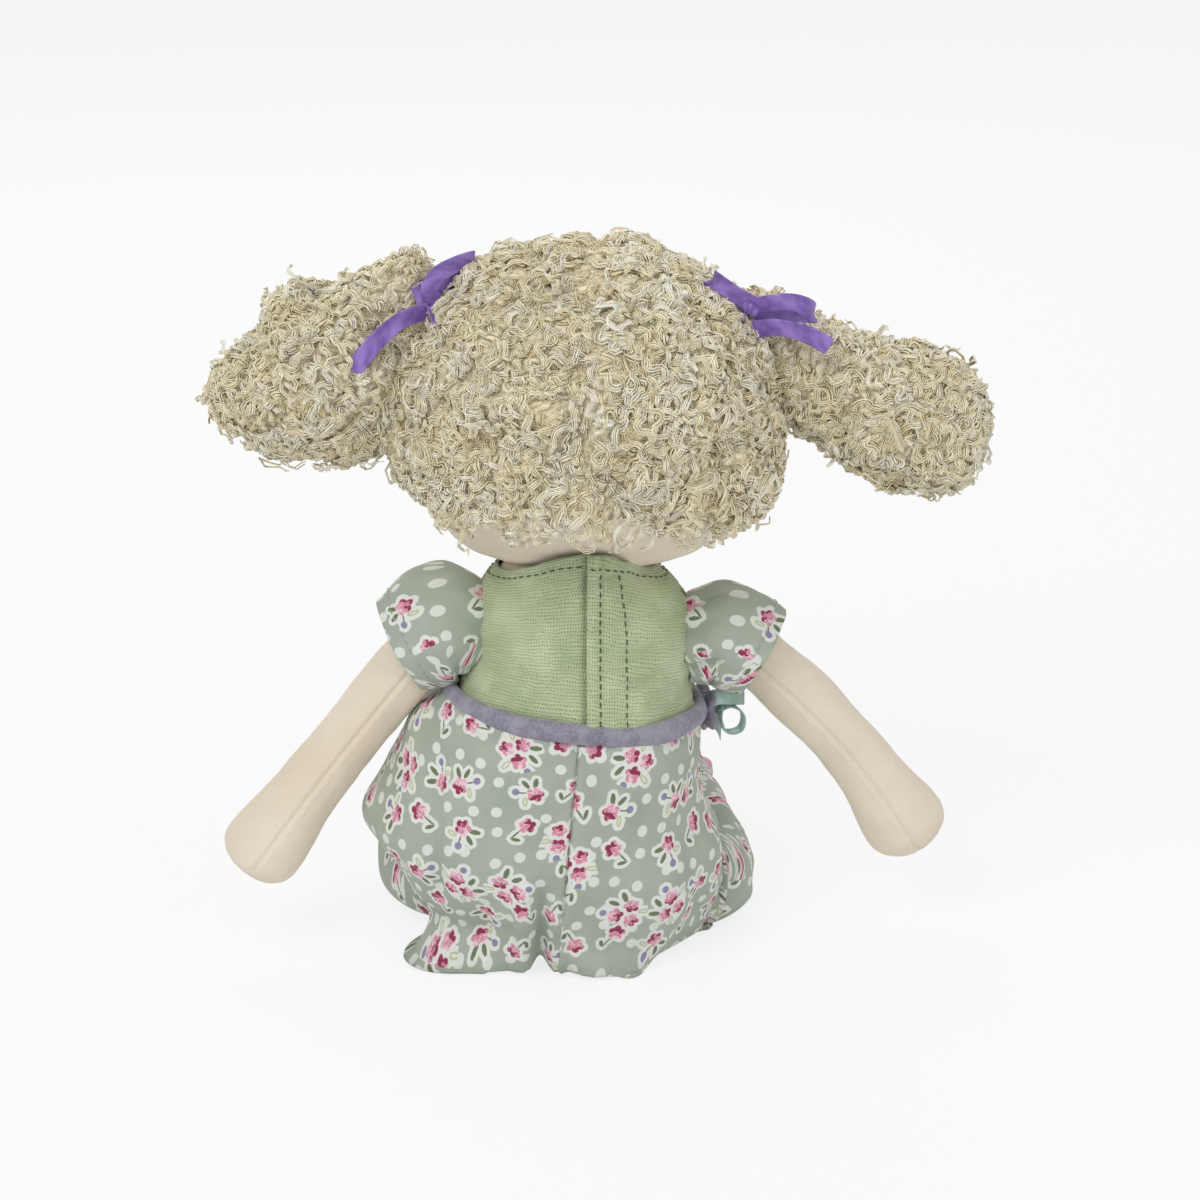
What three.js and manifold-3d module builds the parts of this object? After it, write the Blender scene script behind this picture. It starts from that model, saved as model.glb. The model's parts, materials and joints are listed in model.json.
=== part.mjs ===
// A soft rag doll that sits with its legs forward: a stuffed cotton body with a curly wig in two
// pigtails, satin bows, a gauze bodice, puff sleeves and a balloon romper.
// Millimetres, +Z up. The doll faces -Y, its left side is +X, and it sits on the plane z = 0.
import * as THREE from 'three';
import { mergeVertices } from 'three/addons/utils/BufferGeometryUtils.js';
import Module from 'manifold-3d';

const wasm = await Module();
wasm.setup();

// Cloth and clearances
const skin_cloth = 1.0;
const dress_cloth = 1.1;
const seam_gap = 0.5;
const fit_gap = 1.6;
const cut_overrun = 60;

// Torso
const torso_height = 140;
const torso_half_width = 44;
const torso_half_depth = 38;
const pelvis_shift = 8;
const waist_height = 87;
const seat_setback = 18;

// Neck and head
const neck_radius = 12.5;
const neck_rise = 7;
const neck_socket_depth = 9;
const neck_swell = 1.2;
const head_half_width = 53;
const head_half_depth = 47;
const head_height = 88;

// Shoulders and arms
const shoulder_spacing = 47;
const shoulder_height = 113;
const right_shoulder_drop = 3.5;
const sleeve_radius = 20.8;
const sleeve_length = 15;
const sleeve_hem_radius = 19.4;
const armhole_radius = 18.7;
const arm_length = 111;
const arm_radius = 11;
const arm_bend = 10;
const left_arm_splay_deg = 38;
const right_arm_splay_deg = 38;
const left_arm_ahead_deg = -10;
const right_arm_ahead_deg = 13;
const sleeve_dip_deg = 36;
const armhole_tilt_deg = 15;

// Hips and legs
const hip_spacing = 32;
const hip_setback = -16;
const hip_height = 26;
const hip_puff_radius = 25.4;
const hip_puff_half_length = 30;
const leg_length = 138;
const leg_radius = 15.5;
const leg_spread_deg = 1;
const foot_length = 40;
const belly_lift = 6;
const leg_drop = 15;
const romper_leg_length = 74;
const romper_left_puff = 24;
const romper_right_puff = 7;
const romper_back_puff = 8;
const romper_front_puff = 5;
const elastic_thickness = 0.9;
const elastic_height = 5;

// Waist, placket and trimmings
const sash_height = 6.5;
const sash_thickness = 3;
const placket_overlap = 12;
const tape_width = 8;
const tape_thickness = 0.7;
const trim_drop = 8;
const velour_bow_width = 22;
const velour_bow_depth = 6;
const velour_bow_height = 17;
const satin_width = 6;
const satin_thickness = 0.6;
const satin_bow_width = 22;
const satin_knot = 4.5;

// Wig, pigtails and hair ribbons
const wig_thickness = 15;
const wig_crown_thickness = 9;
const wig_lump = 1.6;
const lump_spacing = 10;
const wig_edge_height = 153;
const fringe_height = 210;
const face_half_width = 40;
const tie_spacing = 56;
const tie_height = 224;
const tie_radius = 8;
const tie_thickness = 2;
const tie_length = 5;
const left_pigtail_length = 70;
const right_pigtail_length = 82;
const pigtail_radius = 28;
const pigtail_lump = 1.8;
const ribbon_width = 6;
const ribbon_thickness = 0.6;
const bow_reach = 28;
const bow_knot = 5.5;

// Face
const eye_radius = 4;
const eye_spacing = 17;
const eye_height = 188;
const mouth_width = 13;
const mouth_height = 169;
const thread_thickness = 0.9;
const thread_width = 1.8;

const rad = Math.PI / 180;
const turn = Math.PI * 2;
const up = new THREE.Vector3(0, 0, 1);
const back = new THREE.Vector3(0, 1, 0);
const at = (x, y, z) => new THREE.Vector3(x, y, z);

// Solids from rings of points

function solid(points, triangles) {
  let volume = 0;
  for (const [a, b, c] of triangles) volume += points[a].dot(points[b].clone().cross(points[c]));
  const index = volume < 0 ? triangles.flatMap(([a, b, c]) => [a, c, b]) : triangles.flat();
  const geometry = new THREE.BufferGeometry();
  geometry.setAttribute('position', new THREE.Float32BufferAttribute(points.flatMap((p) => p.toArray()), 3));
  geometry.setIndex(index);
  return geometry;
}

function bridge(triangles, from, to, count) {
  for (let i = 0; i < count; i += 1) {
    const next = (i + 1) % count;
    triangles.push([from + i, from + next, to + next], [from + i, to + next, to + i]);
  }
}

// Rings joined one after the other, closed at both ends
function loft(rings) {
  const count = rings[0].length;
  const points = rings.flat();
  const triangles = [];
  for (let k = 0; k + 1 < rings.length; k += 1) bridge(triangles, k * count, (k + 1) * count, count);
  const last = (rings.length - 1) * count;
  for (const [start, flipped] of [[0, true], [last, false]]) {
    const centre = points.length;
    const end_ring = points.slice(start, start + count);
    points.push(end_ring.reduce((sum, p) => sum.add(p), at(0, 0, 0)).divideScalar(count));
    for (let i = 0; i < count; i += 1) {
      const next = (i + 1) % count;
      triangles.push(flipped ? [centre, start + next, start + i] : [centre, start + i, start + next]);
    }
  }
  return solid(points, triangles);
}

// Rings joined one after the other and back to the first, as a tube wall
function hoop(rings) {
  const count = rings[0].length;
  const triangles = [];
  for (let k = 0; k < rings.length; k += 1) {
    bridge(triangles, k * count, ((k + 1) % rings.length) * count, count);
  }
  return solid(rings.flat(), triangles);
}

// Two matching grids of points, joined round their edges
function sheet(front, behind) {
  const rows = front.length;
  const columns = front[0].length;
  const side = rows * columns;
  const points = [...front.flat(), ...behind.flat()];
  const triangles = [];
  const quad = (a, b, c, d) => triangles.push([a, b, c], [a, c, d]);
  for (let r = 0; r + 1 < rows; r += 1) {
    for (let c = 0; c + 1 < columns; c += 1) {
      const k = r * columns + c;
      quad(k, k + 1, k + columns + 1, k + columns);
      quad(side + k, side + k + columns, side + k + columns + 1, side + k + 1);
    }
  }
  for (let c = 0; c + 1 < columns; c += 1) {
    const top = (rows - 1) * columns + c;
    quad(c, side + c, side + c + 1, c + 1);
    quad(top, top + 1, side + top + 1, side + top);
  }
  for (let r = 0; r + 1 < rows; r += 1) {
    const k = r * columns;
    const end = k + columns - 1;
    quad(k, k + columns, side + k + columns, side + k);
    quad(end, side + end, side + end + columns, end + columns);
  }
  return solid(points, triangles);
}

// A ring of points about a centre, in the plane of two axes
function ring(centre, across, along, half_across, half_along, count, fold = () => 1) {
  return Array.from({ length: count }, (_, i) => {
    const angle = (i / count) * turn;
    const reach = fold(angle);
    return centre.clone()
      .addScaledVector(across, half_across * reach * Math.cos(angle))
      .addScaledVector(along, half_along * reach * Math.sin(angle));
  });
}

const level_axes = [at(1, 0, 0), at(0, 1, 0)];

// A smooth value of a table of shares, whose rows start with the key
function share_at(table, key, column) {
  const row = Math.max(0, Math.min(table.length - 2, table.findIndex((r) => r[0] > key) - 1));
  const index = key >= table[table.length - 1][0] ? table.length - 2 : row;
  const value = (k) => table[Math.max(0, Math.min(table.length - 1, k))][column];
  const [low, high] = [table[index][0], table[index + 1][0]];
  const t = Math.max(0, Math.min(1, (key - low) / (high - low)));
  const lead_in = (value(index + 1) - value(index - 1)) / 2;
  const lead_out = (value(index + 2) - value(index)) / 2;
  const [t2, t3] = [t * t, t * t * t];
  return value(index) * (2 * t3 - 3 * t2 + 1) + lead_in * (t3 - 2 * t2 + t)
    + value(index + 1) * (3 * t2 - 2 * t3) + lead_out * (t3 - t2);
}

// Joining and cutting

function manifold(geometry) {
  const bare = geometry.clone();
  bare.deleteAttribute('normal');
  bare.deleteAttribute('uv');
  const merged = mergeVertices(bare, 1e-5);
  return new wasm.Manifold(new wasm.Mesh({
    numProp: 3,
    vertProperties: new Float32Array(merged.attributes.position.array),
    triVerts: new Uint32Array(merged.index.array),
  }));
}

function geometry_of(body) {
  const mesh = body.getMesh();
  const geometry = new THREE.BufferGeometry();
  const places = new Float32Array(mesh.numVert * 3);
  for (let v = 0; v < mesh.numVert; v += 1) {
    for (let k = 0; k < 3; k += 1) places[v * 3 + k] = mesh.vertProperties[v * mesh.numProp + k];
  }
  geometry.setAttribute('position', new THREE.BufferAttribute(places, 3));
  geometry.setIndex(new THREE.BufferAttribute(new Uint32Array(mesh.triVerts), 1));
  return geometry;
}

const cut = (geometry, ...tools) => geometry_of(
  tools.reduce((body, tool) => body.subtract(manifold(tool)), manifold(geometry)),
);
const join = (geometry, ...more) => geometry_of(
  more.reduce((body, other) => body.add(manifold(other)), manifold(geometry)),
);
const largest = (geometry) => geometry_of(
  manifold(geometry).decompose().reduce((best, body) => (body.volume() > best.volume() ? body : best)),
);
const keep = (geometry, region) => geometry_of(manifold(geometry).intersect(manifold(region)));

function block(low, high) {
  const size = high.clone().sub(low);
  const centre = low.clone().add(high).multiplyScalar(0.5);
  return new THREE.BoxGeometry(size.x, size.y, size.z).translate(centre.x, centre.y, centre.z);
}

const hollow_sides = 16;
const hollow_bands = 8;
function ball(centre, radius, wide = hollow_sides, high = hollow_bands) {
  return new THREE.SphereGeometry(radius, wide, high)
    .rotateX(Math.PI / 2).translate(centre.x, centre.y, centre.z);
}

// A round bar from one point to another
function bar(from, to, radius, sides = 24) {
  const length = from.distanceTo(to);
  const lean = new THREE.Quaternion().setFromUnitVectors(at(0, 1, 0), to.clone().sub(from).normalize());
  const middle = from.clone().add(to).multiplyScalar(0.5);
  return new THREE.CylinderGeometry(radius, radius, length, sides)
    .applyQuaternion(lean).translate(middle.x, middle.y, middle.z);
}

// A flat strip of ribbon along a curve
function strip(points, flat_axis, width, thickness, steps) {
  const curve = new THREE.CatmullRomCurve3(points);
  const rings = Array.from({ length: steps + 1 }, (_, i) => {
    const place = curve.getPoint(i / steps);
    const along = curve.getTangent(i / steps);
    const across = flat_axis.clone().addScaledVector(along, -flat_axis.dot(along)).normalize();
    const out = along.clone().cross(across).multiplyScalar(thickness / 2);
    const half = across.multiplyScalar(width / 2);
    return [
      place.clone().add(half).add(out),
      place.clone().sub(half).add(out),
      place.clone().sub(half).sub(out),
      place.clone().add(half).sub(out),
    ];
  });
  return loft(rings);
}

const whole = new THREE.Group();

// Everything is made about the neck's line, then moved so that the origin is on the seat
function part(name, geometry, color, roughness = 0.9) {
  geometry.translate(0, -seat_setback, 0);
  const material = new THREE.MeshStandardMaterial({ color, roughness, metalness: 0 });
  const mesh = new THREE.Mesh(geometry, material);
  mesh.name = name;
  whole.add(mesh);
}

const cotton = 0xe0d4c0;
const filling = 0xf4f1ea;
const gauze = 0xaab494;
const floral = 0xa7afa2;
const velour = 0x92909a;
const mint = 0x8fb3a4;
const purple = 0x7b5fa8;
const hair = 0xd2c5a2;
const thread = 0x5a4636;
const tape = 0xd8dccb;

// Torso: height share, width share, depth share, shift share
const torso_shares = [
  [0, 0.66, 0.66, 1],
  [0.05, 0.9, 0.9, 1],
  [0.2, 1, 1, 0.95],
  [0.42, 1, 0.98, 0.7],
  [0.62, 0.83, 0.88, 0.45],
  [0.74, 0.82, 0.79, 0.1],
  [0.86, 0.8, 0.74, 0],
  [0.94, 0.68, 0.7, 0],
  [0.985, 0.5, 0.6, 0],
  [1, 0.34, 0.42, 0],
];
const torso_floor = dress_cloth + seam_gap;

function torso_ring(height_share, out, count) {
  const height = torso_floor + (torso_height - torso_floor) * height_share;
  const shift = pelvis_shift * share_at(torso_shares, height_share, 3);
  return ring(
    at(shift, 0, height), ...level_axes,
    torso_half_width * share_at(torso_shares, height_share, 1) + out,
    torso_half_depth * share_at(torso_shares, height_share, 2) + out,
    count,
  );
}
const torso_share_at = (height) => (height - torso_floor) / (torso_height - torso_floor);

function torso_block(inset, lift, top, count = 16) {
  const rings = torso_shares.map(([share]) => torso_ring(share, -inset, count));
  rings[0].forEach((p) => { p.z += lift; });
  rings[1].forEach((p) => { p.z = Math.max(p.z, rings[0][0].z + seam_gap); });
  rings[rings.length - 1].forEach((p) => { p.z += top; });
  return loft(rings);
}

// Shoulder and hip hollows, kept clear of all that turns in them
const sides = [['left', 1], ['right', -1]];
const shoulder = (side) => at(
  side * shoulder_spacing, 0, shoulder_height - (side > 0 ? 0 : right_shoulder_drop),
);
const hip = (side) => at(pelvis_shift + side * hip_spacing, hip_setback, hip_height);

function hip_puff(side, out, count = 14) {
  const share_steps = [-0.97, -0.75, -0.4, 0, 0.4, 0.75, 0.97];
  const rings = share_steps.map((share) => {
    const radius = (hip_puff_radius + out) * Math.sqrt(1 - share * share);
    return ring(hip(side).add(at((hip_puff_half_length + out) * share, 0, 0)),
      back, up, radius, radius, count);
  });
  return loft(rings);
}

const belly_cut = (out) => block(
  at(-cut_overrun * 2, -cut_overrun * 2, -cut_overrun),
  at(cut_overrun * 2, hip_setback + out, hip_height + hip_puff_radius + belly_lift + out),
);
// Below the hips, room for the legs to hang down
const seat_cut = (out) => block(
  at(-cut_overrun * 2, -cut_overrun * 2, -cut_overrun),
  at(cut_overrun * 2, hip_setback + hip_puff_radius + fit_gap + out, hip_height - leg_drop + out),
);
const limb_room = (out) => [
  ...sides.map(([, side]) => ball(shoulder(side), sleeve_radius + out)),
  ...sides.map(([, side]) => hip_puff(side, out + fit_gap)),
  belly_cut(out),
  seat_cut(out),
];

// Neck, carried in the torso's top and inside the underside of the head
const neck_pivot = torso_height + neck_rise;
const neck_base = torso_height - neck_socket_depth;
const neck_ball = neck_radius + neck_swell;

function neck_solid(inset, low, count = 14) {
  const rows = [
    [neck_base + low, neck_radius],
    [torso_height, neck_radius],
    [neck_pivot - neck_ball * 0.35, neck_ball * 0.937],
    [neck_pivot, neck_ball],
    [neck_pivot + neck_ball * 0.5, neck_ball * 0.866],
    [neck_pivot + neck_ball * 0.87, neck_ball * 0.493],
  ];
  return loft(rows.map(([z, r]) => ring(at(0, 0, z), ...level_axes, r - inset, r - inset, count)));
}
const neck_sides = 14;
const neck_hole = bar(
  at(0, 0, neck_base - seam_gap), at(0, 0, torso_height + cut_overrun), neck_radius + seam_gap, neck_sides,
);

{
  const outer = cut(torso_block(0, 0, 0), ...limb_room(seam_gap), neck_hole);
  const hollow = torso_block(skin_cloth, skin_cloth, cut_overrun / 20);
  const inner = cut(hollow, ...limb_room(seam_gap + skin_cloth));
  part('torso_skin', cut(outer, inner), cotton);
  const fill_inset = skin_cloth + seam_gap;
  part('torso_stuffing', cut(
    torso_block(fill_inset, fill_inset, -fill_inset),
    ...limb_room(seam_gap + fill_inset), neck_hole,
  ), filling);
  const slot_low = at(0, 0, neck_base - cut_overrun / 20);
  part('neck_skin', cut(neck_solid(0, 0), join(
    neck_solid(skin_cloth, skin_cloth),
    bar(slot_low, at(0, 0, torso_height), neck_radius - skin_cloth, 14),
  )), cotton);
  part('neck_stuffing', neck_solid(skin_cloth + seam_gap, skin_cloth), filling);
}

// Head: height share, width share, depth share. It narrows under the chin and over the neck
const head_shares = [
  [0, 0.3, 0.34],
  [0.03, 0.56, 0.58],
  [0.1, 0.79, 0.79],
  [0.22, 0.92, 0.92],
  [0.36, 0.98, 0.98],
  [0.5, 1, 1],
  [0.64, 0.96, 0.96],
  [0.78, 0.83, 0.83],
  [0.9, 0.6, 0.6],
  [0.98, 0.27, 0.27],
  [1, 0.06, 0.06],
];
const head_base = neck_pivot + seam_gap;
const head_middle = head_base + head_height / 2;

function head_block(inset, count) {
  const rings = head_shares.map(([share, wide, deep]) => ring(
    at(0, 0, head_base + inset + (head_height - 2 * inset) * share), ...level_axes,
    Math.max(head_half_width * wide - inset, head_half_width * 0.03),
    Math.max(head_half_depth * deep - inset, head_half_depth * 0.03),
    count,
  ));
  return loft(rings);
}

// A point on the head's front, off the skin by a distance
function on_face(x, z, out) {
  const share = (z - head_base) / head_height;
  const wide = head_half_width * share_at(head_shares, share, 1);
  const deep = head_half_depth * share_at(head_shares, share, 2);
  return at(x, -deep * Math.sqrt(Math.max(0, 1 - (x / wide) ** 2)) - out, z);
}

{
  const pivot = at(0, 0, neck_pivot);
  const throat_foot = at(0, 0, head_base - cut_overrun / 10);
  const throat_top = pivot.clone().add(at(0, 0, seam_gap * 3));
  const throat = (out) => bar(throat_foot, throat_top, neck_ball + out, neck_sides);
  const outer = cut(head_block(0, 16), ball(pivot, neck_ball + seam_gap, 14, 10));
  const inner = join(head_block(skin_cloth, 16), throat(seam_gap));
  part('head_skin', cut(outer, inner), cotton);
  part('head_stuffing', cut(
    head_block(skin_cloth + seam_gap, 16),
    ball(pivot, neck_ball + seam_gap, 14, 10),
  ), filling);
}

// Face worked in thread, each piece lying on the skin
const face_gap = seam_gap * 1.3;

function face_spot(x, z, radius_x, radius_z) {
  const grid = (out, scale) => [0, 0.55, 1].map((reach) => Array.from({ length: 12 }, (_, i) => {
    const angle = (i / 12) * turn;
    const dome = out * (1 - 0.35 * reach * reach);
    const [side_step, rise] = [Math.cos(angle), Math.sin(angle)].map((step) => step * scale * reach);
    return on_face(x + radius_x * side_step, z + radius_z * rise, face_gap + dome);
  }));
  const [, front_mid, front_rim] = grid(thread_thickness, 1);
  const [, back_mid, back_rim] = grid(0, 1);
  return loft([front_mid, front_rim, back_rim, back_mid]);
}
part('left_eye', face_spot(eye_spacing, eye_height, eye_radius * 0.85, eye_radius), thread, 0.6);
part('right_eye', face_spot(-eye_spacing, eye_height, eye_radius * 0.85, eye_radius), thread, 0.6);
{
  const steps = 8;
  const row = (z_off, out) => Array.from({ length: steps + 1 }, (_, i) => {
    const share = (i / steps) * 2 - 1;
    const smile = mouth_width * 0.22 * share * share;
    return on_face(share * mouth_width / 2, mouth_height + smile + z_off, face_gap + out);
  });
  const half = thread_width / 2;
  part('mouth', sheet(
    [row(-half, thread_thickness), row(half, thread_thickness)],
    [row(-half, 0), row(half, 0)],
  ), 0xb0606c, 0.8);
}

// Arms: a short stub in the armhole, a soft bend at the shoulder, then a straight stuffed limb
const arm_out = (side) => at(side * Math.cos(armhole_tilt_deg * rad), 0, Math.sin(armhole_tilt_deg * rad));
const arm_down = (side) => {
  const splay = (side > 0 ? left_arm_splay_deg : right_arm_splay_deg) * rad;
  const ahead = (side > 0 ? left_arm_ahead_deg : right_arm_ahead_deg) * rad;
  return at(side * Math.sin(splay), -Math.cos(splay) * Math.sin(ahead), -Math.cos(splay) * Math.cos(ahead));
};
// Distance share along the arm, radius share
const arm_shares = [
  [0.09, 1],
  [0.25, 1],
  [0.42, 0.96],
  [0.58, 0.92],
  [0.7, 0.97],
  [0.82, 1.15],
  [0.91, 1.2],
  [0.97, 0.95],
  [0.995, 0.42],
];

function arm_rings(side, inset, count, open) {
  const centre = shoulder(side);
  const [out, down] = [arm_out(side), arm_down(side)];
  const reach = sleeve_radius - seam_gap;
  const stub_rows = [[0.72, 0], [1, 0]].map(([r]) => {
    const radius = arm_radius * r;
    return [Math.sqrt(reach * reach - radius * radius), radius];
  });
  const rings = stub_rows.map(([depth, radius], k) => ring(
    centre.clone().addScaledVector(out, -depth + (k === 0 && !open ? inset : 0)),
    back, out.clone().cross(back), radius - inset, radius - inset, count,
  ));
  const bend = new THREE.QuadraticBezierCurve3(
    centre.clone().addScaledVector(out, -arm_bend), centre, centre.clone().addScaledVector(down, arm_bend),
  );
  for (const share of [0, 0.33, 0.67]) {
    const radius = arm_radius - inset;
    rings.push(ring(bend.getPoint(share), back, bend.getTangent(share).cross(back), radius, radius, count));
  }
  for (const [distance, radius_share] of arm_shares) {
    const shortened = distance > 0.95 ? inset : 0;
    const radius = Math.max(arm_radius * radius_share - inset, arm_radius * 0.1);
    rings.push(ring(
      centre.clone().addScaledVector(down, arm_length * distance - shortened),
      back, down.clone().cross(back), radius, radius, count,
    ));
  }
  return rings;
}

// A skin is a bag: down its outside from the open rim to the far end, and back up its inside
const bag = (outer, inner) => loft([...outer.slice().reverse(), ...inner]);

// Puff sleeves, round about the shoulder's centre, with a loose hem and an armhole
const sleeve_axis = (side) => at(side * Math.cos(sleeve_dip_deg * rad), 0, -Math.sin(sleeve_dip_deg * rad));
const sleeve_folds = 6;

function sleeve_rings(side, inset, count) {
  const centre = shoulder(side);
  const axis = sleeve_axis(side);
  const puckers = (depth) => (angle) => 1 - depth * (0.5 - 0.5 * Math.cos(sleeve_folds * angle));
  const rings = [-0.985, -0.8, -0.5, -0.15, 0.1].map((share) => {
    const radius = Math.sqrt(1 - share * share) * (sleeve_radius - inset);
    return ring(centre.clone().addScaledVector(axis, (sleeve_radius - inset) * share),
      back, axis.clone().cross(back), radius, radius, count, puckers(inset ? 0 : 0.02));
  });
  for (const [reach, grown] of [[0.6, 0.65], [1, 1]]) {
    const radius = sleeve_radius + (sleeve_hem_radius - sleeve_radius) * grown - inset;
    const wave = inset ? 0 : 0.02;
    rings.push(ring(centre.clone().addScaledVector(axis, sleeve_length * reach),
      back, axis.clone().cross(back), radius, radius, count, puckers(wave)));
  }
  return rings;
}

for (const [name, side] of sides) {
  const outer = arm_rings(side, 0, 12, true);
  const inner = arm_rings(side, skin_cloth, 12, true);
  part(`${name}_arm_skin`, bag(outer, inner), cotton);
  part(`${name}_arm_stuffing`, loft(arm_rings(side, skin_cloth + seam_gap, 10, false)), filling);
  const centre = shoulder(side);
  const inward = centre.clone().addScaledVector(arm_out(side), -cut_overrun);
  const armhole = bar(centre.clone(), inward, armhole_radius, 18);
  const shell = bag(sleeve_rings(side, 0, 18).reverse(), sleeve_rings(side, dress_cloth, 18).reverse());
  part(`${name}_sleeve`, cut(shell, armhole), floral);
}

// Legs: a stub in the hip hollow, a tapering limb and a foot that turns up
const leg_ahead = (side) => at(side * Math.sin(leg_spread_deg * rad), -Math.cos(leg_spread_deg * rad), 0);
// Distance share, height share of the hip's height, radius share
const leg_shares = [
  [0.1, 0.98, 1.02],
  [0.3, 0.89, 1.04],
  [0.47, 0.79, 1],
  [0.68, 0.66, 0.91],
  [0.82, 0.58, 0.83],
];
// Foot: distance share, rise share of the foot's length, lean share, radius share
const foot_shares = [
  [0.93, 0.03, 0.3, 0.8],
  [0.975, 0.26, 0.75, 0.82],
  [0.99, 0.6, 1, 0.84],
  [0.99, 0.88, 1, 0.66],
  [0.99, 0.97, 1, 0.3],
];

function leg_rings(side, inset, count, open) {
  const centre = hip(side);
  const ahead = leg_ahead(side);
  const across = ahead.clone().cross(up);
  const reach = hip_puff_radius - seam_gap;
  const rings = [0.6, 0.88, 1].map((r, k) => {
    const radius = leg_radius * r;
    const depth = Math.sqrt(reach * reach - radius * radius) * (k === 2 ? 0.9 : 0.97);
    return ring(centre.clone().addScaledVector(ahead, -depth + (k === 0 && !open ? inset : 0)),
      across, up, radius - inset, radius - inset, count);
  });
  for (const [distance, height, radius_share] of leg_shares) {
    const radius = leg_radius * radius_share - inset;
    const place = centre.clone().addScaledVector(ahead, leg_length * distance).setZ(hip_height * height);
    rings.push(ring(place, across, up, radius, radius, count));
  }
  const sole = hip_height * leg_shares[leg_shares.length - 1][1];
  for (const [distance, rise, lean, radius_share] of foot_shares) {
    const radius = Math.max(leg_radius * radius_share - inset, leg_radius * 0.1);
    const shortened = rise > 0.9 ? inset : 0;
    const place = centre.clone().addScaledVector(ahead, leg_length * distance)
      .setZ(sole + foot_length * rise - shortened);
    const angle = lean * Math.PI / 2;
    const tall = up.clone().multiplyScalar(Math.cos(angle)).addScaledVector(ahead, -Math.sin(angle));
    rings.push(ring(place, across, tall, radius, radius, count));
  }
  return rings;
}

// The cuff is drawn in over an elastic that grips the thigh
const cuff_share = 0.88;
const cuff_leg_share = (romper_leg_length * cuff_share) / leg_length;
const cuff_inner = leg_radius * share_at(leg_shares, cuff_leg_share, 2) + fit_gap / 2;
const cuff_radius = cuff_inner + elastic_thickness + seam_gap + dress_cloth;
// Romper leg: distance share of its length, width share and height share of the puff or of the cuff
const romper_leg_shares = [
  [-0.335, 0.2, 0.2],
  [-0.29, 0.5, 0.5],
  [-0.2, 0.81, 0.81],
  [-0.08, 0.98, 0.98],
  [0.06, 0.985, 0.985],
  [0.25, 0.9, 0.93],
  [0.5, 0.82, 0.84],
  [0.72, 0.74, 0.79],
];
const cuff_shares = [
  [cuff_share, 1, 1],
  [1, 1.16, 1],
];
const romper_leg_folds = 5;

function romper_leg_rings(side, inset, count) {
  const centre = hip(side);
  const ahead = leg_ahead(side);
  const across = ahead.clone().cross(up);
  const folds = (distance) => (angle) => (
    1 - (inset ? 0 : 0.04 * Math.max(0, distance)) * (0.5 - 0.5 * Math.cos(romper_leg_folds * angle)));
  const place_at = (distance, along) => {
    const leg_share = Math.max(0, (distance * romper_leg_length) / leg_length);
    const height = distance > 0.2 ? hip_height * share_at(leg_shares, leg_share, 1) : hip_height;
    return centre.clone().addScaledVector(along, romper_leg_length * distance).setZ(height);
  };
  const puff_rings = romper_leg_shares.map(([distance, wide, high], k) => {
    const near = distance < 0.2;
    const place = place_at(distance, near ? at(0, -1, 0) : ahead);
    if (k === 0) place.y -= inset;
    return ring(place, near ? at(-1, 0, 0) : across, up,
      Math.max(hip_puff_half_length * wide - inset, inset), Math.max(hip_puff_radius * high - inset, inset),
      count, folds(distance));
  });
  const cuff_rings = cuff_shares.map(([distance, wide, high]) => ring(
    place_at(distance, ahead), across, up, cuff_radius * wide - inset, cuff_radius * high - inset, count,
    folds(distance - cuff_share)));
  return [...puff_rings, ...cuff_rings];
}

for (const [name, side] of sides) {
  part(`${name}_leg_skin`, bag(leg_rings(side, 0, 12, true), leg_rings(side, skin_cloth, 12, true)), cotton);
  part(`${name}_leg_stuffing`, loft(leg_rings(side, skin_cloth + seam_gap, 10, false)), filling);
  const shell = bag(...[0, dress_cloth].map((inset) => romper_leg_rings(side, inset, 16).reverse()));
  const torso_clear = loft(torso_shares.map(([share]) => torso_ring(share, seam_gap, 16)));
  const hollow = keep(torso_clear, block(
    at(-cut_overrun * 2, hip_setback + seam_gap, -cut_overrun),
    at(cut_overrun * 2, cut_overrun * 2, cut_overrun * 3),
  ));
  part(`${name}_romper_leg`, cut(shell, hollow), floral);

  const cuff_place = romper_leg_length * cuff_share;
  const height = hip_height * share_at(leg_shares, cuff_leg_share, 1);
  const across = leg_ahead(side).cross(up);
  const band = [[-1, 0], [1, 0], [1, 1], [-1, 1]].map(([end, thick]) => {
    const radius = cuff_inner + elastic_thickness * thick;
    const reach = cuff_place + end * elastic_height / 2;
    const place = hip(side).addScaledVector(leg_ahead(side), reach).setZ(height);
    return ring(place, across, up, radius, radius, 16);
  });
  part(`${name}_leg_elastic`, hoop(band), 0xe9e6df, 0.7);
}

// Bodice: a front and two backs that lap at a placket, over the torso
const bodice_inner = fit_gap;
const neckline_rise = 3.5;
const neckline_drop = 9;
// Angle from the doll's left side, anticlockwise from above
const bodice_top = (angle) => torso_height + neckline_rise
  - neckline_drop * Math.abs(Math.cos(angle)) ** 1.5;

function bodice_point(angle, rise, out) {
  const height = waist_height + (bodice_top(angle) - waist_height) * rise;
  const share = Math.min(torso_share_at(height), 0.965);
  const wide = torso_half_width * share_at(torso_shares, share, 1) + out;
  const deep = torso_half_depth * share_at(torso_shares, share, 2) + out;
  const shift = pelvis_shift * share_at(torso_shares, share, 3);
  return at(shift + wide * Math.cos(angle), deep * Math.sin(angle), height);
}

const bodice_row_shares = [0, 0.07, 0.2, 0.38, 0.57, 0.78, 1];
const tape_row_shares = bodice_row_shares.slice(2, 6);

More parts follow.
